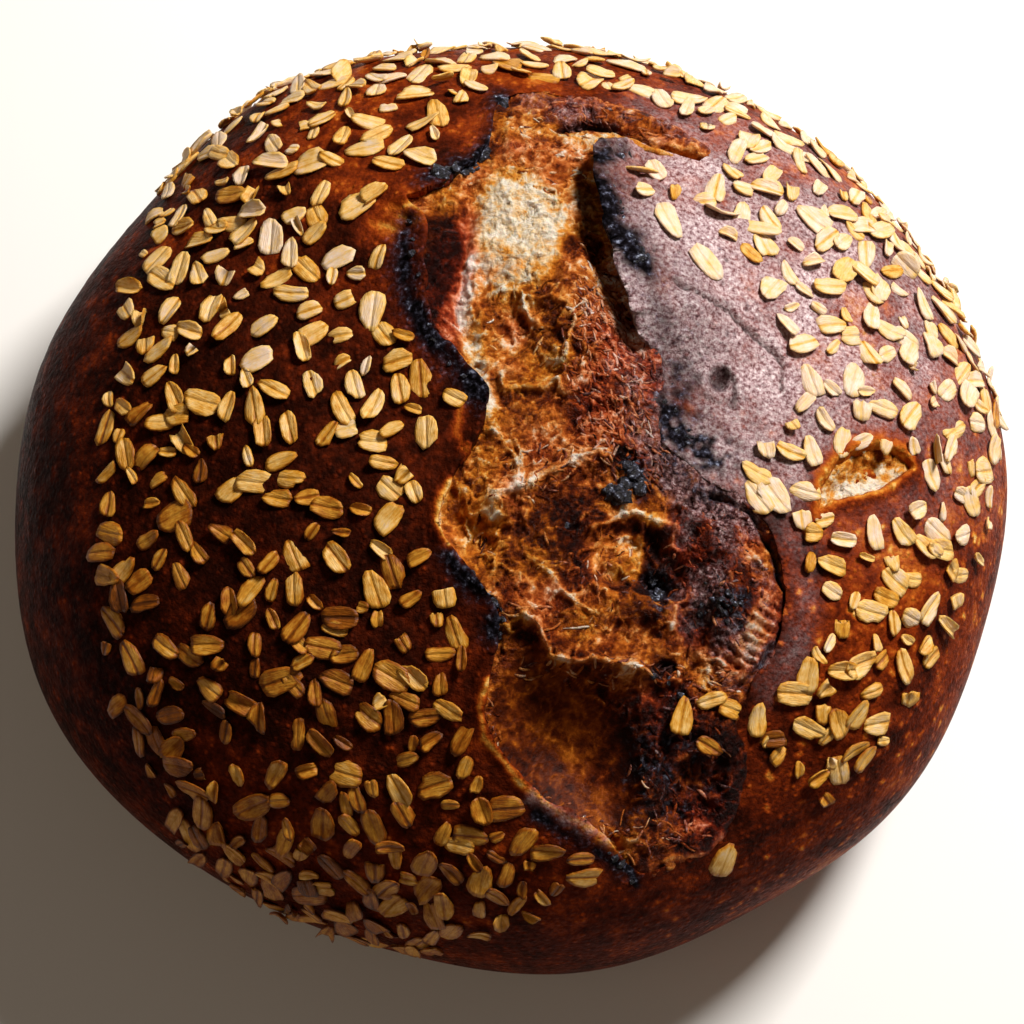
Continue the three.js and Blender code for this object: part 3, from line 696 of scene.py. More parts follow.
# Rims of torn skin that stand up round the bubbles: where, how wide and how high.
SKIN_RIMS = [
    ([(-2, -47), (2, -45), (6, -48), (10, -54), (21, -56), (35, -58)], 0.8, 1.7),
    ([(-9, -20), (-2, -17), (7, -14), (16, -11), (25, -7)], 1.0, 1.3),
    ([(7, 33), (13, 30), (15, 24), (12, 17), (6, 13)], 0.8, 1.5),
    ([(-6, 31), (-2, 33), (3, 31), (5, 26), (9, 24)], 0.7, 1.2),
    ([(-5, 17), (0, 10), (8, 8), (14, 12)], 0.8, 1.4),
    ([(16, -33), (19, -26), (27, -22), (37, -23), (43, -29)], 0.9, 1.4),
    ([(34, -50), (38, -46), (38, -42), (34, -39)], 0.7, 1.2),
    ([(3, -30), (9, -36), (14, -44), (22, -47)], 0.8, 0.8),
    ([(30, -101), (38, -97), (46, -95), (52, -88)], 0.8, 0.8),
]
skin_rim = np.zeros(x.shape)
for line, width, height in SKIN_RIMS:
    distance, along, _, _ = to_line(wx, wy, line)
    rim = np.exp(-((distance / width) ** 2)) * taper(along)
    relief += height * rim
    skin_rim = np.maximum(skin_rim, rim)
rib_along = (wx - 54) * math.cos(math.radians(58)) + (wy + 50) * math.sin(math.radians(58))
is_ribbed = patch(wx, wy, (55, -48), (10, 4.2), 58, 0.2)
ribs = 0.5 + 0.5 * np.cos(rib_along * 2 * math.pi / RIB_SPACING)
relief += is_ribbed * (1.2 * ribs - 1.4)
# Holes in the crumb: sunk, and darkened with painted shade.
SHADED_HOLES = [((34, -37), (4, 2.6), -40), ((26, -8), (2.6, 2), 0), ((35, -57), (3, 2), 20)]
shaded_hole = np.clip(sum(patch(x, y, *hole) for hole in SHADED_HOLES), 0, 1)
relief -= 2.6 * shaded_hole

lift = crumb_lift(x, y) + relief * step(2, -1.5, beyond)
flush = (1 - standing(x, y)) * np.exp(-((np.minimum(beyond, 0) / 4.5) ** 2))
flush[in_side] = 0
crevice = near_line(wx, y, BEHIND_CRACK, 1.0)
lift = blend(lift, crust_lift(x, y) + 0.3 + 0.5 * relief, flush) - 3 * step(0, 1.8, beyond - 0.9 * flush)
lift += 2.2 * near_line(x, y, CRUMB_LINES[4][0], 3) - 2.2 * near_line(wx, wy, FOLD_CREASE, 0.8)
lift += 3.6 * near_line(x, y, CRUMB_LINES[2][0], 3.2) - 3.4 * crevice
lift += 1.2 * near_line(x, y, BEHIND_BAND, 2.4)
lift += np.where(in_side, crust_lift(x, y) - 0.6 - 1.6 * step(-1, -4, beyond), 0)
point = np.stack([x, y, dome_height(x, y) + lift], axis=1)

# A hem goes down from the slab's edges, and one flat face closes it below.
edges = [e for e in slab.edges if len(e.link_faces) == 1]
hem_verts = bmesh.ops.extrude_edge_only(slab, edges=edges)["geom"]
hem_verts = [g for g in hem_verts if isinstance(g, bmesh.types.BMVert)]
for v in hem_verts:
    v.co.z = -1
bmesh.ops.holes_fill(slab, edges=[e for e in slab.edges if len(e.link_faces) == 1], sides=0)
bmesh.ops.recalc_face_normals(slab, faces=slab.faces)
hem = np.stack(in_plan(hem_verts), axis=1)
hem = np.c_[hem, dome_height(hem[:, 0], hem[:, 1]) - PIT_DEPTH - 4]
crumb = into_mesh("torn_crumb", slab, np.concatenate([point, hem]))

# Toasted in patches, and paler along the webs, the threads and the torn rims that stand up. The webs, walls
# and fibres also carry painted highlight, and the hollows carry painted shade.
browning = 0.64 + 0.08 * mottle(flat, 12, 91, 2)
TOASTED = [
    # middle, half-lengths, turn, how brown, how soft the edge is
    ((8, 74), (12, 15), 80, 0.54, 0.4), ((14, 60), (14, 8), 90, 0.48, 0.4),
    ((1, 51), (16, 10.5), 85, 0.13, 0.35), ((-2, 39), (6, 7), 90, 0.26, 0.4),
    ((2, 23), (9, 7), 60, 0.54, 0.4), ((8, 14), (6, 5), 30, 0.48, 0.4), ((21, 37), (3, 8), 75, 0.4, 0.6),
    ((24, 8), (22, 12), 100, 0.66, 0.4), ((22, 30), (14, 7), 80, 0.58, 0.4),
    ((29, 20), (2.4, 4.5), 30, 0.2, 0.6), ((18, 45), (6, 4), 10, 0.74, 0.5),
    ((-18, 36), (20, 5), 84, 1.0, 0.3), ((-15, 59), (10, 4.5), 35, 0.5, 0.4),
    ((-13.5, 26), (13, 1.8), 76, 0.56, 0.6), ((-10, 34), (9, 1.6), 84, 0.2, 0.5),
    ((-6, 10), (12, 2), 110, 0.22, 0.6), ((-9, 24), (9, 1.7), 95, 0.2, 0.6),
    ((-3, 0), (5, 4), 0, 0.4, 0.4), ((-2, -9), (9, 5), 10, 0.6, 0.5), ((5, -13), (16, 3), 22, 0.46, 0.6),
    ((-7, -25), (9, 7), 100, 0.5, 0.4), ((2, -34), (10, 7), -50, 0.58, 0.5),
    ((16, -27), (9, 12), 0, 0.82, 0.5), ((30, -33), (14, 9), -10, 0.96, 0.3),
    ((25, -32), (6, 5), 0, 0.42, 0.4), ((28, -22), (9, 1.6), -8, 0.4, 0.6),
    ((21, -45), (16, 5), 0, 0.66, 0.5), ((50, -36), (22, 13), 105, 0.9, 0.3),
    ((59, -31), (4, 12), 20, 0.56, 0.5), ((49, -42), (8, 6), 30, 1.0, 0.5),
    ((55, -48), (12, 4), 62, 0.42, 0.3), ((42, -57), (10, 4), 25, 0.52, 0.5),
    ((14, -72), (23, 15.5), -52, 0.74, 0.15), ((14, -74), (10, 3), -40, 0.62, 0.6),
    ((1, -72), (14, 3.4), -66, 0.72, 0.7), ((6, -84), (12, 4), -40, 0.84, 0.6),
    ((34, -76), (14, 14), 20, 0.93, 0.4), ((46, -82), (22, 13), -62, 0.9, 0.4),
    ((40, -93), (9, 4), 20, 0.76, 0.5), ((24, 86), (26, 5), -12, 0.62, 0.3),
    ((42, 78), (10, 5), -30, 0.6, 0.4), ((24, 76), (20, 3), -6, 0.34, 0.4),
    ((25, 62), (3.5, 10), 0, 0.6, 0.5), ((84, -8), (14, 9), 24, 0.36, 0.3),
    ((86, -3), (12, 2.2), 28, 0.5, 0.5), ((89, -6), (3, 2.2), 10, 0.24, 0.5),
    ((82, -12), (9, 1.8), 22, 0.08, 0.5), ((74, -15), (2.6, 5.5), -25, 0.2, 0.5),
]
for at, half, turn, brown, soft in TOASTED:
    browning = blend(browning, brown, patch(wx, wy, at, half, turn, soft))
contrast = 0.3 + 0.7 * (1 - is_cream) * (1 - 0.6 * is_bowl)
contrast *= 1 - 0.6 * patch(wx, wy, (-17, 36), (20, 5), 84)
# Painted highlight on the webs and bubble walls, painted shade in the hollows.
threads = 0.2 * webs[0] + 0.2 * webs[1] + 0.13 * webs[2]
browning += contrast * (0.16 * hollow - 0.1 * wall + 0.08 - threads)
browning += contrast * (0.2 * mottle(flat, 5, 92, 3) + 0.18 * mottle(flat, 1.6, 98, 2)) - 0.02
# The fibres are paler: their own colour, with painted highlight on them.
pale_strand = (0.08 + 0.3 * is_strands + 0.1 * is_fold) * np.clip(strand - 0.3, 0, 1) * (1 - is_bowl)
browning += 0.08 * is_strands - pale_strand
browning += 0.1 * is_bowl * (mottle(flat, 9, 99, 2) + 0.6 * mottle(flat, 3, 100, 2))
browning -= 0.42 * skin_rim * np.clip(browning + 0.2, 0, 1) + 0.25 * is_ribbed * (ribs - 0.5)
# Darker in the crevice behind the opening: painted shade in the crack.
browning += 0.6 * shaded_hole + 0.12 * flush * (y < 60) + 0.5 * crevice
for line, width, brown in PALE_EDGES:
    browning = blend(browning, brown, near_line(x, y, line, width * 1.3))

# Dusty, with painted sheen and glints, behind the opening, on the fold and beside the ear. Burnt at the
# knot, in the fold and at the front.
bloom = 0.55 * is_behind * (0.5 + 1.2 * mottle(flat, 4, 93, 2))
bloom += 0.66 * is_fold * (0.3 + 1.2 * mottle(flat, 4, 94, 2))
bloom += 0.6 * patch(wx, wy, (34, 6), (7, 20), 12, 0.5) * (0.5 + 0.6 * mottle(flat, 4, 95))
bloom += 0.9 * patch(wx, wy, (45, -15), (17, 7), -32, 0.4) * (0.7 + 0.9 * mottle(flat, 3, 95, 2))
bloom *= 1 - near_line(x, y, BEHIND_BAND, 3.4)
bloom[in_side] = 0
coal = patch(wx, wy, (26, -15), (6, 4), 60, 0.4) + 0.9 * patch(wx, wy, (48, -43), (7, 5), 30, 0.5)
# The strip at (26, 40), along the foot of the ear, is painted shadow of the ear.
coal += 0.5 * patch(wx, wy, (26, 40), (2.2, 20), 12, 0.5) + 0.9 * patch(wx, wy, (34, -38), (3, 5), 0, 0.5)
coal += 0.6 * patch(wx, wy, (41, -13), (12, 5), -30, 0.5) * (0.8 + 1.4 * mottle(flat, 2.4, 86, 2))
coal += 0.6 * patch(wx, wy, (36, -80), (10, 10), 0, 0.5) * (0.6 + 1.2 * mottle(flat, 3, 87, 2))
# Black along the fold's crease: partly char, and partly painted shade in the crease.
coal += 0.9 * near_line(wx, wy, FOLD_CREASE, 0.9)

# Redder where the crumb was torn last, so that it is thin and dry: the lip's face, the threads, the fold.
redness = 0.2 + 0.6 * mottle(flat, 8, 97, 2) + patch(wx, wy, (-15, 34), (20, 6), 82) + 0.5 * is_strands
redness += 0.4 * is_behind + 0.5 * is_fold + 0.5 * is_front - 0.3 * is_bowl - 0.4 * is_cream
redness[in_side] = 0


def full(share):
    """A share of the slab's top with the hem added, which no one sees."""
    return np.concatenate([share, np.full(len(hem), 0.5)])


paint(
    crumb,
    browning=full(browning),
    bloom=full(bloom),
    coal=full(coal * (0.6 + 0.6 * mottle(flat, 3, 96, 2))),
    glaze=full(np.clip(is_bowl + 0.5 * is_crater + 0.5 * is_pocket, 0, 1)),
    redness=full(redness),
)

CRUMB_GOLD = [
    (0.00, "#e6dac6"), (0.16, "#dabc90"), (0.30, "#d4903a"), (0.44, "#b46418"),
    (0.58, "#823e09"), (0.72, "#541f04"), (0.86, "#300d02"), (1.00, "#150402"),
]
CRUMB_RED = [
    (0.00, "#eedace"), (0.16, "#e8baa8"), (0.30, "#dc8e70"), (0.44, "#b85a34"),
    (0.58, "#862e14"), (0.72, "#5a1806"), (0.86, "#360b03"), (1.00, "#180402"),
]
CRUMB_DUST_AND_SHEEN = [(0.36, "#180a0c"), (0.45, "#54302e"), (0.54, "#8f6a6a"), (0.66, "#cfb4b2")]
CRUMB_ASH_AND_GLINTS = [(0.4, "#040304"), (0.5, "#15131a"), (0.58, "#3a3c4a"), (0.7, "#8e94a8")]

# Toasted crumb: torn open, so matt and rough, with light passing a little way into it. Where a bubble's skin
# has set it is smoother, with an even colour and a faint gloss.
material, tree, surface = new_material("toasted open crumb")
place = add(tree, "TexCoord", {}, gives="Object")
share = painted(tree, "browning", "coal", "bloom", "glaze", "redness")
fine = add(tree, "TexNoise", {"Vector": place, "Scale": grain(1.429), "Detail": 5, "Roughness": 0.65})
blotches = {"Vector": place, "Scale": grain(3.846), "Detail": 4, "Roughness": 0.6, "Distortion": 0.8}
broad = add(tree, "TexNoise", blotches)
smooth = add(tree, "MapRange", {"Value": share["glaze"], "To Min": 0.62, "To Max": 0.3})
patchy = made_uneven(tree, share["browning"], (fine, smooth), (broad, smooth))
golden = add(tree, "ValToRGB", {"Fac": patchy}, CRUMB_GOLD)
reddish = add(tree, "ValToRGB", {"Fac": patchy}, CRUMB_RED)
warm = add(tree, "Mix", {0: share["redness"], 6: golden, 7: reddish}, gives=2, data_type="RGBA")
burnt = dusted_sheened_and_burnt(tree, place, share, warm, 1.111, CRUMB_DUST_AND_SHEEN, CRUMB_ASH_AND_GLINTS)
dull = add(tree, "MapRange", {"Value": share["glaze"], "To Min": 0.34, "To Max": 0.44})
torn_open = add(tree, "MapRange", {"Value": share["glaze"], "To Min": 1, "To Max": 0.25})
height = add(tree, "Math", {0: fine, 1: torn_open}, operation="MULTIPLY")
bump = add(tree, "Bump", {"Height": height, "Strength": 1.0, "Distance": 1.8 * MM})
feed(tree, surface, {"Base Color": burnt, "Roughness": dull, "Normal": bump})
feed(tree, surface, {"IOR": 1.45, "Specular IOR Level": 0.09})
feed(tree, surface, {"Subsurface Weight": 0.12, "Subsurface Radius": (3 * MM, 1.4 * MM, 0.6 * MM)})
feed(tree, surface, {"Subsurface Scale": 1.0})
crumb.data.materials.append(material)

# ---------------------------------------------------------------- torn strands
# Threads of gluten: dough that stretched between the torn faces as the score opened, snapped, and dried
# where it fell. Each is a thin wavy thread that lies on the crumb and tapers to its ends.
STRAND_BEDS = [
    # middle, half-lengths and turn of the bed, way they run, how many, how long, how brown, how red
    ((25, 12), (13, 27), 10, -50, 620, 2.6, 0.46, 0.9), ((21, 36), (7, 16), 0, -60, 110, 2.4, 0.46, 0.6),
    ((9, 72), (11, 12), 0, -20, 60, 2.4, 0.42, 0.4), ((4, 23), (12, 10), 0, 40, 24, 3, 0.4, 0.2),
    ((4, -12), (16, 6), 20, 20, 50, 3, 0.44, 0.5), ((6, -47), (10, 4), -20, -25, 12, 6, 0.36, 0.5),
    ((26, -35), (14, 10), 0, 60, 60, 2.2, 0.5, 0.7), ((20, -57), (20, 3), 0, 5, 60, 2.4, 0.46, 0.6),
    ((49, -34), (10, 17), 0, -65, 130, 1.8, 0.66, 0.9), ((42, -60), (10, 6), 0, 20, 50, 2.2, 0.5, 0.7),
    ((32, -93), (16, 4), 8, 12, 40, 3.2, 0.5, 0.7), ((0, -26), (9, 12), 0, 70, 20, 2.6, 0.46, 0.4),
    ((24, 84), (20, 5), -8, -10, 60, 2.6, 0.5, 0.8), ((38, -78), (12, 14), 0, -60, 70, 2.6, 0.7, 0.8),
    ((-6, -67), (2, 12), 20, -80, 20, 2.0, 0.4, 0.6), ((14, -88), (14, 2), -22, -20, 26, 2.0, 0.4, 0.8),
]
STRAND_STEPS, STRAND_SIDES = 6, 4
rng = np.random.default_rng(7)


def crumb_cell(x, y):
    """The cell of the crumb's grid that a point lies in."""
    i = np.rint((x - west) / (east - west) * cells[0]).astype(int)
    j = np.rint((y - south) / (north - south) * cells[1]).astype(int)
    return i.clip(0, cells[0]), j.clip(0, cells[1])


i, j = crumb_cell(x, y)
resting = np.full((5, cells[0] + 1, cells[1] + 1), np.nan)
resting[:, i, j] = [point[:, 2], beyond, browning, bloom, redness]


def crumb_at(x, y):
    """The crumb's height, distance past the torn edge, browning, dust and sheen, and redness; not numbers
    off it.
    """
    i, j = crumb_cell(x, y)
    return resting[:, i, j]


def template(bm):
    """A small shape's points, and its mesh to be copied."""
    mesh = bpy.data.meshes.new("template")
    bmesh.ops.recalc_face_normals(bm, faces=bm.faces)
    bm.to_mesh(mesh)
    points = np.array([v.co[:] for v in bm.verts])
    bm.free()
    return points, mesh


def many(name, mesh, points):
    """One piece from many copies of a small mesh, each with its own points."""
    bm = bmesh.new()
    for _ in points:
        bm.from_mesh(mesh)
    bpy.data.meshes.remove(mesh)
    return into_mesh(name, bm, np.concatenate(points))


thread = bmesh.new()
bmesh.ops.create_circle(thread, segments=STRAND_SIDES, radius=1)
end = list(thread.edges)
for _ in range(STRAND_STEPS - 1):
    grown = bmesh.ops.extrude_edge_only(thread, edges=end)["geom"]
    tip = [g for g in grown if isinstance(g, bmesh.types.BMVert)]
    bmesh.ops.translate(thread, verts=tip, vec=(0, 0, 1))
    end = [e for e in thread.edges if e.verts[0] in tip and e.verts[1] in tip]
bmesh.ops.holes_fill(thread, edges=[e for e in thread.edges if len(e.link_faces) == 1], sides=0)
form, thread_mesh = template(thread)
at_step = np.rint(form[:, 2]).astype(int)

threads, shades, dusts_and_sheens, reds = [], [], [], []
for at, half, turn, way, number, long, brown, red in STRAND_BEDS:
    c, s = math.cos(math.radians(turn)), math.sin(math.radians(turn))
    for _ in range(number):
        r, a = math.sqrt(rng.uniform(0, 1)), rng.uniform(0, 2 * math.pi)
        px, py = r * half[0] * math.cos(a), r * half[1] * math.sin(a)
        px, py = at[0] + px * c - py * s, at[1] + px * s + py * c
        reach = long * rng.uniform(0.5, 1.4) / (STRAND_STEPS - 1)
        heading = math.radians(way) + rng.normal(0, 0.6)
        curl = rng.normal(0, 0.12)
        path = []
        for _ in range(STRAND_STEPS):
            path.append((px, py))
            px, py = px + reach * math.cos(heading), py + reach * math.sin(heading)
            heading += curl + rng.normal(0, 0.12)
        path = np.array(path)
        ground, outside, *looks = crumb_at(path[:, 0], path[:, 1])
        if np.isnan(ground).any() or outside.max() > -0.3:
            continue
        ground = np.convolve(np.r_[ground[0], ground, ground[-1]], [0.3, 0.4, 0.3], "valid")
        thick = rng.uniform(0.16, 0.46) * np.sin(np.linspace(0.25, math.pi - 0.25, STRAND_STEPS)) ** 0.6
        arch = rng.uniform(-0.2, 0.12) * np.sin(np.linspace(0, math.pi, STRAND_STEPS))
        centre = np.c_[path, ground + arch]
        ahead = np.gradient(centre, axis=0)
        ahead /= np.linalg.norm(ahead, axis=1)[:, None]
        across = np.cross(ahead, [0, 0, 1.0])
        across /= np.linalg.norm(across, axis=1)[:, None]
        over = np.cross(ahead, across)
        ring = form[:, :1] * across[at_step] + form[:, 1:2] * over[at_step]
        threads.append(centre[at_step] + ring * thick[at_step, None])
        looks = np.mean(looks, axis=1)
        shades.append(0.45 * brown + 0.55 * looks[0] - 0.03 + rng.normal(0, 0.18))
        dusts_and_sheens.append(looks[1] * rng.uniform(0.2, 1.2) + 0.45 * red * (rng.uniform() > 0.7))
        reds.append(0.5 * red + 0.5 * looks[2])
strands = many("torn_strands", thread_mesh, threads)
each = len(form)
paint(
    strands,
    browning=np.repeat(shades, each),
    redness=np.repeat(reds, each),
    bloom=np.repeat(dusts_and_sheens, each),
    coal=np.zeros(len(threads) * each),
    glaze=np.zeros(len(threads) * each),
)
strands.data.materials.append(material)

# ---------------------------------------------------------------- charred crags
# Shreds of dough that stood up along the torn edges and burnt hard: black, glossy lumps with a blue-grey
# cast of painted glints, fused to the lips, to the ear and to the knot in the middle of the crumb.
CRAG_ROWS = [
    # where they sit, how many, how far they stray, smallest and largest
    ([(-3, 89), (-4, 78), (-7, 70)], 30, 0.9, 0.5, 1.5),
    ([(-8, 68), (-13, 67), (-19, 62)], 34, 1.6, 0.5, 1.9),
    ([(-25, 55), (-23, 42), (-22, 30), (-16, 16), (-10, 9)], 16, 0.9, 0.4, 1.0),
    ([(-10, 7), (-7, 4)], 12, 0.8, 1.0, 1.9),
    ([(-13, -33), (-8, -39), (-2, -44), (-4, -51)], 22, 0.8, 0.5, 1.1),
    ([(22, -96), (29, -102)], 12, 0.8, 0.5, 1.3), ([(23, 58), (25, 50)], 20, 2.0, 0.3, 0.9),
    ([(28, 43), (31, 36)], 22, 2.2, 0.3, 0.9), ([(36, 10), (41, -4)], 16, 3, 0.3, 0.8),
    ([(22, -17), (25, -18), (28, -13), (26, -9)], 34, 1.5, 0.6, 1.9),
    ([(33, -33), (34, -41)], 12, 1.2, 0.5, 1.4), ([(45, -42), (51, -46), (48, -37)], 22, 3.2, 0.4, 1.1),
    ([(13, -24), (12, -29)], 8, 0.9, 0.4, 1.1), ([(26, -59), (35, -60), (40, -64)], 14, 1.4, 0.4, 1.1),
    ([(24, 69), (29, 70)], 8, 1.4, 0.3, 0.9),
]
crag = bmesh.new()
bmesh.ops.create_icosphere(crag, subdivisions=2, radius=1)
form, crag_mesh = template(crag)
crags = []
for line, number, stray, small, large in CRAG_ROWS:
    line = np.array(line, float)
    for _ in range(number):
        k = rng.uniform(0, len(line) - 1)
        spot = line[int(k)] + (line[int(k) + 1] - line[int(k)]) * (k % 1) + rng.normal(0, stray * 0.6, 2)
        if mottle(np.array([[*spot, 0]]), 7, 79)[0] < -0.25:
            continue
        ground, outside = crumb_at(*spot[:, None])[:2, 0]
        if np.isnan(ground) or outside > -0.6:
            ground = crust_point(plan_direction(*spot[:, None]))[0, 2]
        size = small + (large - small) * rng.uniform(0, 1) ** 2
        lumps = 0.45 * mottle(form * 2.1 + rng.uniform(0, 90, 3), 1.4, 77) + rng.normal(0, 0.13, len(form))
        broken = form * (0.95 + lumps)[:, None]
        turn = rng.uniform(0, 2 * math.pi)
        spun = broken * size * rng.uniform(0.6, 1.5, 3)
        c, s = math.cos(turn), math.sin(turn)
        spun = np.c_[spun[:, 0] * c - spun[:, 1] * s, spun[:, 0] * s + spun[:, 1] * c, spun[:, 2] * 0.6]
        crags.append(spun + [*spot, ground + size * 0.05])
crags = many("charred_crags", crag_mesh, crags)

# Burnt sourdough: hard carbon, nearly black, with bluish ash and painted glints on its high points, and a
# broken gloss.
CRAG_ASH_AND_GLINTS = [(0.4, "#060304"), (0.51, "#16121a"), (0.59, "#424656"), (0.67, "#b4bacb")]
material, tree, surface = new_material("burnt sourdough")
place = add(tree, "TexCoord", {}, gives="Object")
ash_and_glints = add(tree, "TexNoise", {"Vector": place, "Scale": grain(1.111), "Detail": 5, "Roughness": 0.65})
cast = add(tree, "ValToRGB", {"Fac": ash_and_glints}, CRAG_ASH_AND_GLINTS)
bump = add(tree, "Bump", {"Height": ash_and_glints, "Strength": 0.9, "Distance": 1.0 * MM})
feed(tree, surface, {"Base Color": cast, "Normal": bump})
feed(tree, surface, {"Roughness": 0.34, "IOR": 1.45, "Specular IOR Level": 0.4})
crags.data.materials.append(material)

# ---------------------------------------------------------------- oats
# Rolled oats: steamed groats pressed flat between rollers, so each flake is a thin oval with a crease along
# it. They were rolled onto the wet dough, and baked in at every angle. The largest lie where the solid has
# its own, and smaller ones fill in between.
FIRST_FLAKES = 148
ALL_FLAKES = 860
FLAKE_SEED = 20240611
FLAKE_LENGTH = (10.6, 7.6)
LATE_LENGTH = (9.2, 4.2)
FLAKE_WIDTH_SHARE = (0.56, 0.74)
FLAKE_SPACING = 10
LATE_SPACING = 4.9
CROWDED_SPACING = 3.0
LOWEST_OATS = -0.12
OAT_LIMITS = [
    (0, 0.37), (12, 0.1), (30, -0.1), (60, -0.12), (90, -0.1), (120, -0.05), (135, 0.1),
    (148, 0.52), (168, 0.65), (183, 0.645), (198, 0.63), (212, 0.5), (221, 0.4), (231, 0.12),
    (240, 0), (258, 0.05), (268, 0.35), (280, 0.52), (284, 0.6), (285, 1.1), (308, 1.1),
    (311, 0.42), (329, 0.46), (337, 0.43), (350, 0.36), (360, 0.37),
]
BARE_SKIN = dict(at=(46, 27), half=(31, 16), turn=117)
BARE_MARGIN = 5.5
STRAY_FLAKES = [(37, 50, -60), (46, 40, -45), (50, 55, 20), (61, -16, -60), (50, -97, 60)]
LATE_STRAYS = [
    (46, -63, 10), (51, -65, -30), (39, -67, 70), (45, -73, -40),
    (57, -67, 80), (60, -71, 20), (57, -17, 120),
]
EAR_FOOT = [(36, 12), (40, 2), (47, -4)]
oat_state = FLAKE_SEED


def oat_random():
    global oat_state
    oat_state = (oat_state * 1664525 + 1013904223) % 2**32
    return oat_state / 2**32


def has_oats(direction, spot):
    """False below the oats' edge, and at the bare places: the opening, its lips, the ear, the side tear."""
    turn = math.degrees(math.atan2(direction[0, 1], direction[0, 0])) % 360
    if direction[0, 2] < np.interp(turn, *zip(*OAT_LIMITS)):
        return False
    if direction[0, 2] < 0.3:
        return True
    if is_inside(spot[0], spot[1], TORN_CORNERS)[0]:
        return False
    if to_line(spot[0], spot[1], TORN_CORNERS + TORN_CORNERS[:1])[0][0] < BARE_MARGIN:
        return False
    return in_ellipse(*spot[:2], **SIDE_TEAR)[0] > 1.35 and in_ellipse(*spot[:2], **BARE_SKIN)[0] > 1


def strays(flakes):
    """The directions and turns of flakes that lie alone, each given by its place and turn."""
    ways = [plan_direction(*np.array([[x], [y]], float))[0] for x, y, _ in flakes]
    return ways, [math.radians(turn) for _, _, turn in flakes]


def scatter_flakes():
    """Each flake's direction from the loaf's middle, its turn, width share and length."""
    ways, turns = strays(STRAY_FLAKES)
    spots = [body_point(np.array([way]))[0] for way in ways]
    widths = [0.6] * len(ways)
    while len(ways) < ALL_FLAKES - len(LATE_STRAYS):
        angle = 2 * math.pi * oat_random()
        rise = 1 - oat_random() * (1 - LOWEST_OATS)
        lean = math.sqrt(1 - rise * rise)
        direction = np.array([[lean * math.cos(angle), lean * math.sin(angle), rise]])
        spot = body_point(direction)
        late = CROWDED_SPACING if len(ways) % 4 == 0 else LATE_SPACING
        gap = FLAKE_SPACING if len(ways) < FIRST_FLAKES else late
        if np.linalg.norm(np.array(spots) - spot, axis=1).min() < gap or not has_oats(direction, spot.T):
            continue
        if len(ways) >= FIRST_FLAKES and near_line(spot[:, 0], spot[:, 1], BARE_BAND, 5)[0] > 0.35:
            continue
        turns.append(math.pi * oat_random())
        widths.append(FLAKE_WIDTH_SHARE[0] + (FLAKE_WIDTH_SHARE[1] - FLAKE_WIDTH_SHARE[0]) * oat_random())
        ways.append(direction[0])
        spots.append(spot[0])
    late_ways, late_turns = strays(LATE_STRAYS)
    ways, turns, widths = ways + late_ways, turns + late_turns, widths + [0.66] * len(LATE_STRAYS)
    spots = np.array(spots + [(x, y, 0) for x, y, _ in LATE_STRAYS])
    order = np.arange(ALL_FLAKES)
    early = FLAKE_LENGTH[0] + (FLAKE_LENGTH[1] - FLAKE_LENGTH[0]) * order / FIRST_FLAKES
    smaller = np.array([oat_random() for _ in order]) ** 1.5
    late = LATE_LENGTH[0] + (LATE_LENGTH[1] - LATE_LENGTH[0]) * smaller
    lengths = np.where(order < FIRST_FLAKES, early, late)
    kept = (order < FIRST_FLAKES) | (near_line(spots[:, 0], spots[:, 1], EAR_FOOT, 9) < 0.4)
    return [np.array(values)[kept] for values in (ways, turns, widths, lengths)]


ways, turns, widths, lengths = scatter_flakes()
rng = np.random.default_rng(FLAKE_SEED)
count = len(ways)


def seats(ways):
    """Where each flake lies on the crust, and the crust's two slopes and normal there."""
    here = crust_point(ways)
    side = np.array([1.0, 0, 0]) - ways[:, :1] * ways
    side /= np.linalg.norm(side, axis=1)[:, None]
    up = np.cross(ways, side)
    slopes = []
    for way in (side, up):
        moved = ways + 0.01 * way
        slopes.append(crust_point(moved / np.linalg.norm(moved, axis=1)[:, None]) - here)
    normal = np.cross(*slopes)
    normal /= np.linalg.norm(normal, axis=1)[:, None]
    long = slopes[0] / np.linalg.norm(slopes[0], axis=1)[:, None]
    return here, long, np.cross(normal, long), normal


here, long, short, normal = seats(ways)
FLAKE_SIDES = 14
flake = bmesh.new()
bmesh.ops.create_uvsphere(flake, u_segments=FLAKE_SIDES, v_segments=5, radius=0.5)
form, flake_mesh = template(flake)
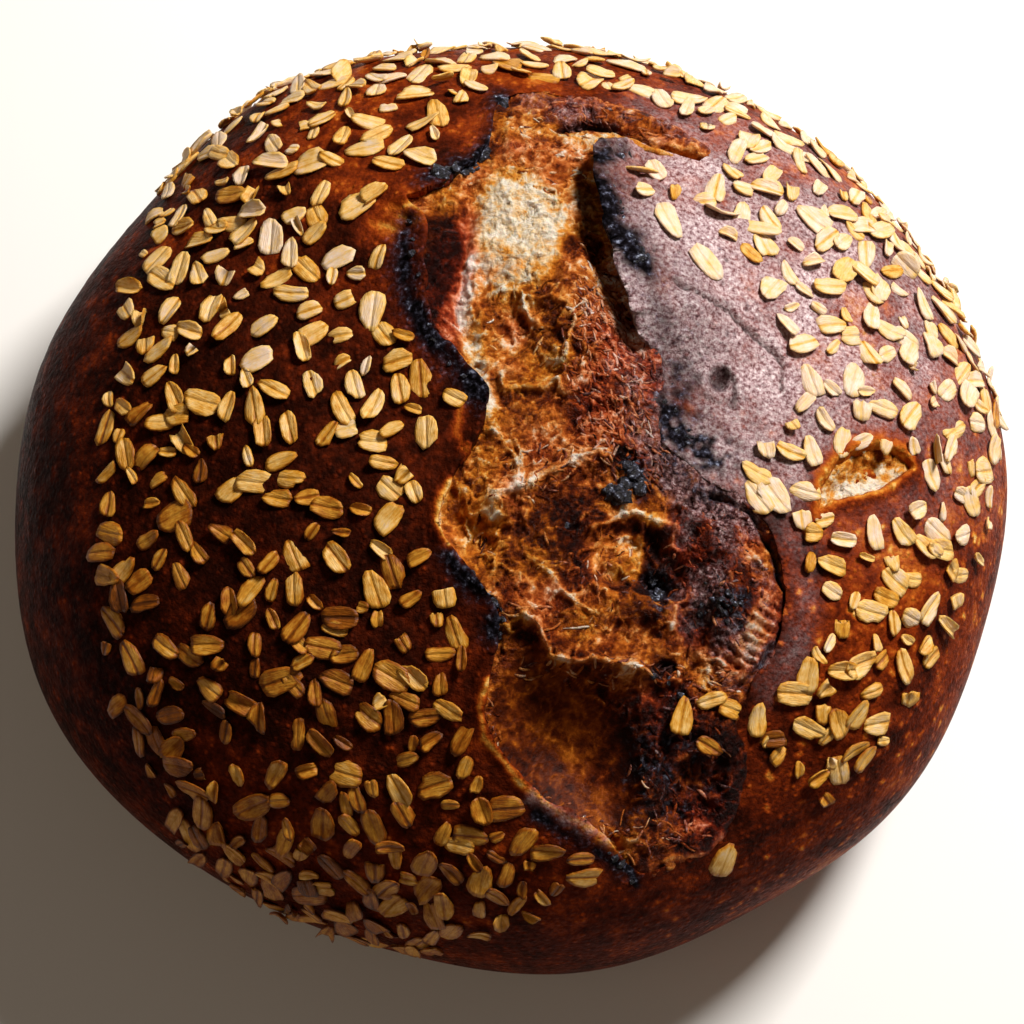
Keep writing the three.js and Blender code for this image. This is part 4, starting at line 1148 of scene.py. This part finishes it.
# The pressed shape: a flat ragged oval, narrower at the germ end, dished along a crease. Some are broken
# across, some curl, and a few stand on edge.
u, v, w = (form * 2).T
around = np.arctan2(v, u)
spread = np.where(np.hypot(u, v) > 1e-6, np.clip(1 - w * w, 0, 1) ** 0.3, 0)
corner = np.rint(around / (2 * math.pi / FLAKE_SIDES)).astype(int) % FLAKE_SIDES
blunt = [spread * np.sign(part) * np.abs(part) ** 0.86 for part in (np.cos(around), np.sin(around))]
flakes, laid_flat = [], []
for i in range(count):
    late = i >= FIRST_FLAKES
    wobble = 1 + 0.06 * np.cos(2 * around + rng.uniform(0, 6.3))
    wobble += 0.06 * np.cos(3 * around + rng.uniform(0, 6.3))
    wobble += rng.normal(0, 0.04, FLAKE_SIDES)[corner]
    wobble -= 0.3 * rng.uniform(0, 1) ** 2 * np.clip(np.cos(around - rng.uniform(0, 6.3)), 0, 1) ** 8
    fu, fv = blunt[0] * wobble, blunt[1] * wobble * (0.88 if late else 1)
    fv *= 1 - rng.uniform(0, 0.22) * fu
    if late and rng.uniform() < 0.16:
        fu = np.minimum(fu, rng.uniform(-0.1, 0.45) + rng.normal(0, 0.05, FLAKE_SIDES)[corner])
    thick = rng.uniform(0.26, 0.44)
    crease = np.exp(-((fv / 0.24) ** 2)) * (1 - np.minimum(1, fu**4))
    fw = thick * np.sign(w) * np.abs(w) ** 0.4 - rng.uniform(0.05, 0.3) * crease * (w > 0)
    fw += rng.normal(0.1, 0.22) * fu**2 * 2 + rng.normal(0.15, 0.3) * fv**2 * 2
    fw += rng.normal(0, 0.3) * fu * fv
    half = lengths[i] / 2
    px, py = fu * half, fv * half * widths[i]
    laid_flat.append(np.stack([px, py, 0 * px], axis=1))
    if late and rng.uniform() < 0.12:
        bent = rng.uniform(0.7, 1.5) / half / widths[i]
        py, lifted = np.sin(py * bent) / bent, (1 - np.cos(py * bent)) / bent
        fw = fw + lifted
    tilt_u, tilt_v = rng.normal(0, 0.13 if late else 0.07, 2)
    if late and rng.uniform() < 0.025:
        tilt_v = rng.choice([-1, 1]) * rng.uniform(0.7, 1.3)
    proud = 0.25 if not late else 0.35 + abs(tilt_u) * 1.5 + (1.0 if abs(tilt_v) > 0.6 else 0)
    if late and i % 4 == 0:
        proud += 0.45
    pz = fw + px * tilt_u + py * tilt_v + proud
    py = py / math.sqrt(1 + tilt_v * tilt_v)
    c, s = math.cos(turns[i]), math.sin(turns[i])
    ax, ay = long[i] * c + short[i] * s, short[i] * c - long[i] * s
    flakes.append(here[i] + px[:, None] * ax + py[:, None] * ay + pz[:, None] * normal[i])
oats = many("oat_flakes", flake_mesh, flakes)
# Painted shade: flakes to the front and left, away from the key light, are painted darker and more orange,
# and their rims more so; the rest of the toast is random.
painted_shade = 0.14 * step(70, -70, here[:, 0]) + 0.4 * step(30, -85, here[:, 1] + 0.3 * here[:, 0])
toast = painted_shade + rng.normal(0, 0.09, count) + 0.25 * (rng.uniform(0, 1, count) > 0.94)
rim = np.clip((spread - 0.72) / 0.28, 0, 1)
toast = (toast[:, None] + rim * rng.uniform(0.1, 0.4, count)[:, None] * (0.4 + 1.6 * painted_shade[:, None])).ravel()
paint(oats, toast=toast, tint=np.repeat(np.clip(rng.uniform(-0.6, 1, count), 0, 1), len(form)))
layer = oats.data.attributes.new("flake_place", "FLOAT_VECTOR", "POINT")
layer.data.foreach_set("vector", np.concatenate(laid_flat).astype(np.float32).ravel())

# Toasted rolled oats: straw to brown and darkest at the rims, with bran fibres along each flake and a dark
# crease; the toast share also holds painted shade on the side away from the light. The pressed groat has a
# soft sheen, and light passes a little way into it.
OAT_BROWNS = [
    (0.10, "#e4cec0"), (0.26, "#dabc9c"), (0.42, "#deb268"),
    (0.58, "#c68a2c"), (0.78, "#904e0a"), (1.00, "#502606"),
]
FIBRE_LENGTH, FIBRE_WIDTH = 2.5, 0.39
material, tree, surface = new_material("toasted rolled oats")
place = add(tree, "TexCoord", {}, gives="Object")
share = painted(tree, "toast", "tint")
lie = add(tree, "Attribute", {}, gives="Vector", attribute_name="flake_place")
off = add(tree, "Math", {0: add(tree, "SeparateXYZ", {0: lie}, gives="Y")}, operation="ABSOLUTE")
crease = add(tree, "MapRange", {"Value": off, "From Min": 0.6, "From Max": 0.05})
drawn = add(tree, "Mapping", {"Vector": lie, "Scale": (1 / FIBRE_LENGTH, 1 / FIBRE_WIDTH, 1)})
fibre = add(tree, "TexNoise", {"Vector": drawn, "Scale": 1, "Detail": 3, "Roughness": 0.6})
bran = add(tree, "TexNoise", {"Vector": place, "Scale": grain(3.03), "Detail": 4, "Roughness": 0.6})
value = add(tree, "Math", {0: bran, 1: 0.8, 2: share["toast"]}, operation="MULTIPLY_ADD")
value = add(tree, "Math", {0: fibre, 1: 0.5, 2: value}, operation="MULTIPLY_ADD")
lined = add(tree, "Math", {0: crease, 1: share["tint"]}, operation="MULTIPLY")
value = add(tree, "Math", {0: lined, 1: 0.34, 2: value}, operation="MULTIPLY_ADD")
value = add(tree, "MapRange", {"Value": value, "From Min": 0.3, "From Max": 1.6})
brown = add(tree, "ValToRGB", {"Fac": value}, OAT_BROWNS)
height = add(tree, "Math", {0: crease, 1: -0.9, 2: fibre}, operation="MULTIPLY_ADD")
bump = add(tree, "Bump", {"Height": height, "Strength": 0.7, "Distance": 0.5 * MM})
feed(tree, surface, {"Base Color": brown, "Normal": bump})
feed(tree, surface, {"Roughness": 0.4, "IOR": 1.45, "Specular IOR Level": 0.22})
feed(tree, surface, {"Subsurface Weight": 0.15, "Subsurface Radius": (2 * MM, 1.2 * MM, 0.6 * MM)})
feed(tree, surface, {"Subsurface Scale": 1.0})
oats.data.materials.append(material)
for piece in (crust, crumb, strands, crags, oats):
    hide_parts("loaf")

# ---------------------------------------------------------------- studio
# A plain pale floor, one soft key light from behind on the right, a weak fill, and the camera that looks
# down on the loaf from the front.
bpy.ops.mesh.primitive_plane_add(size=4)
floor = bpy.context.object
floor.name = "floor"
# White paper: bright, even and quite matt.
material, tree, surface = new_material("matt white paper")
feed(tree, surface, {"Base Color": colour("#f2f0ec"), "Roughness": 0.9})
floor.data.materials.append(material)


def aim(thing, place, target):
    thing.location = place
    thing.rotation_euler = (Vector(target) - Vector(place)).to_track_quat("-Z", "Y").to_euler()
    bpy.context.scene.collection.objects.link(thing)


LAMPS = [
    # name, size, energy, tint, place, what it points at
    ("key", 0.24, 19.5, (1.0, 0.97, 0.94), (0.52, 0.52, 0.86), (0, 0, 0.07)),
    ("fill", 1.2, 2.4, (1.0, 0.72, 0.46), (-0.9, -0.7, 1.2), (0, 0, 0.05)),
]
for name, size, energy, tint, place, target in LAMPS:
    lamp = bpy.data.lights.new(name, "AREA")
    lamp.size, lamp.energy, lamp.color = size, energy, tint
    aim(bpy.data.objects.new(name, lamp), place, target)
world = bpy.data.worlds.new("room")
bpy.context.scene.world = world
world.use_nodes = True
feed(world.node_tree, world.node_tree.nodes["Background"], {"Color": (1, 0.92, 0.84, 1), "Strength": 0.07})

eye = bpy.data.cameras.new("camera")
eye.lens, eye.sensor_width = 104.5, 36
camera = bpy.data.objects.new("camera", eye)
tilt, distance, target = math.radians(75), 0.75, Vector((0.0, -0.0048, 0.05))
aim(camera, target + distance * Vector((0, -math.cos(tilt), math.sin(tilt))), target)
bpy.context.scene.camera = camera
bpy.context.scene.view_settings.view_transform = "Standard"
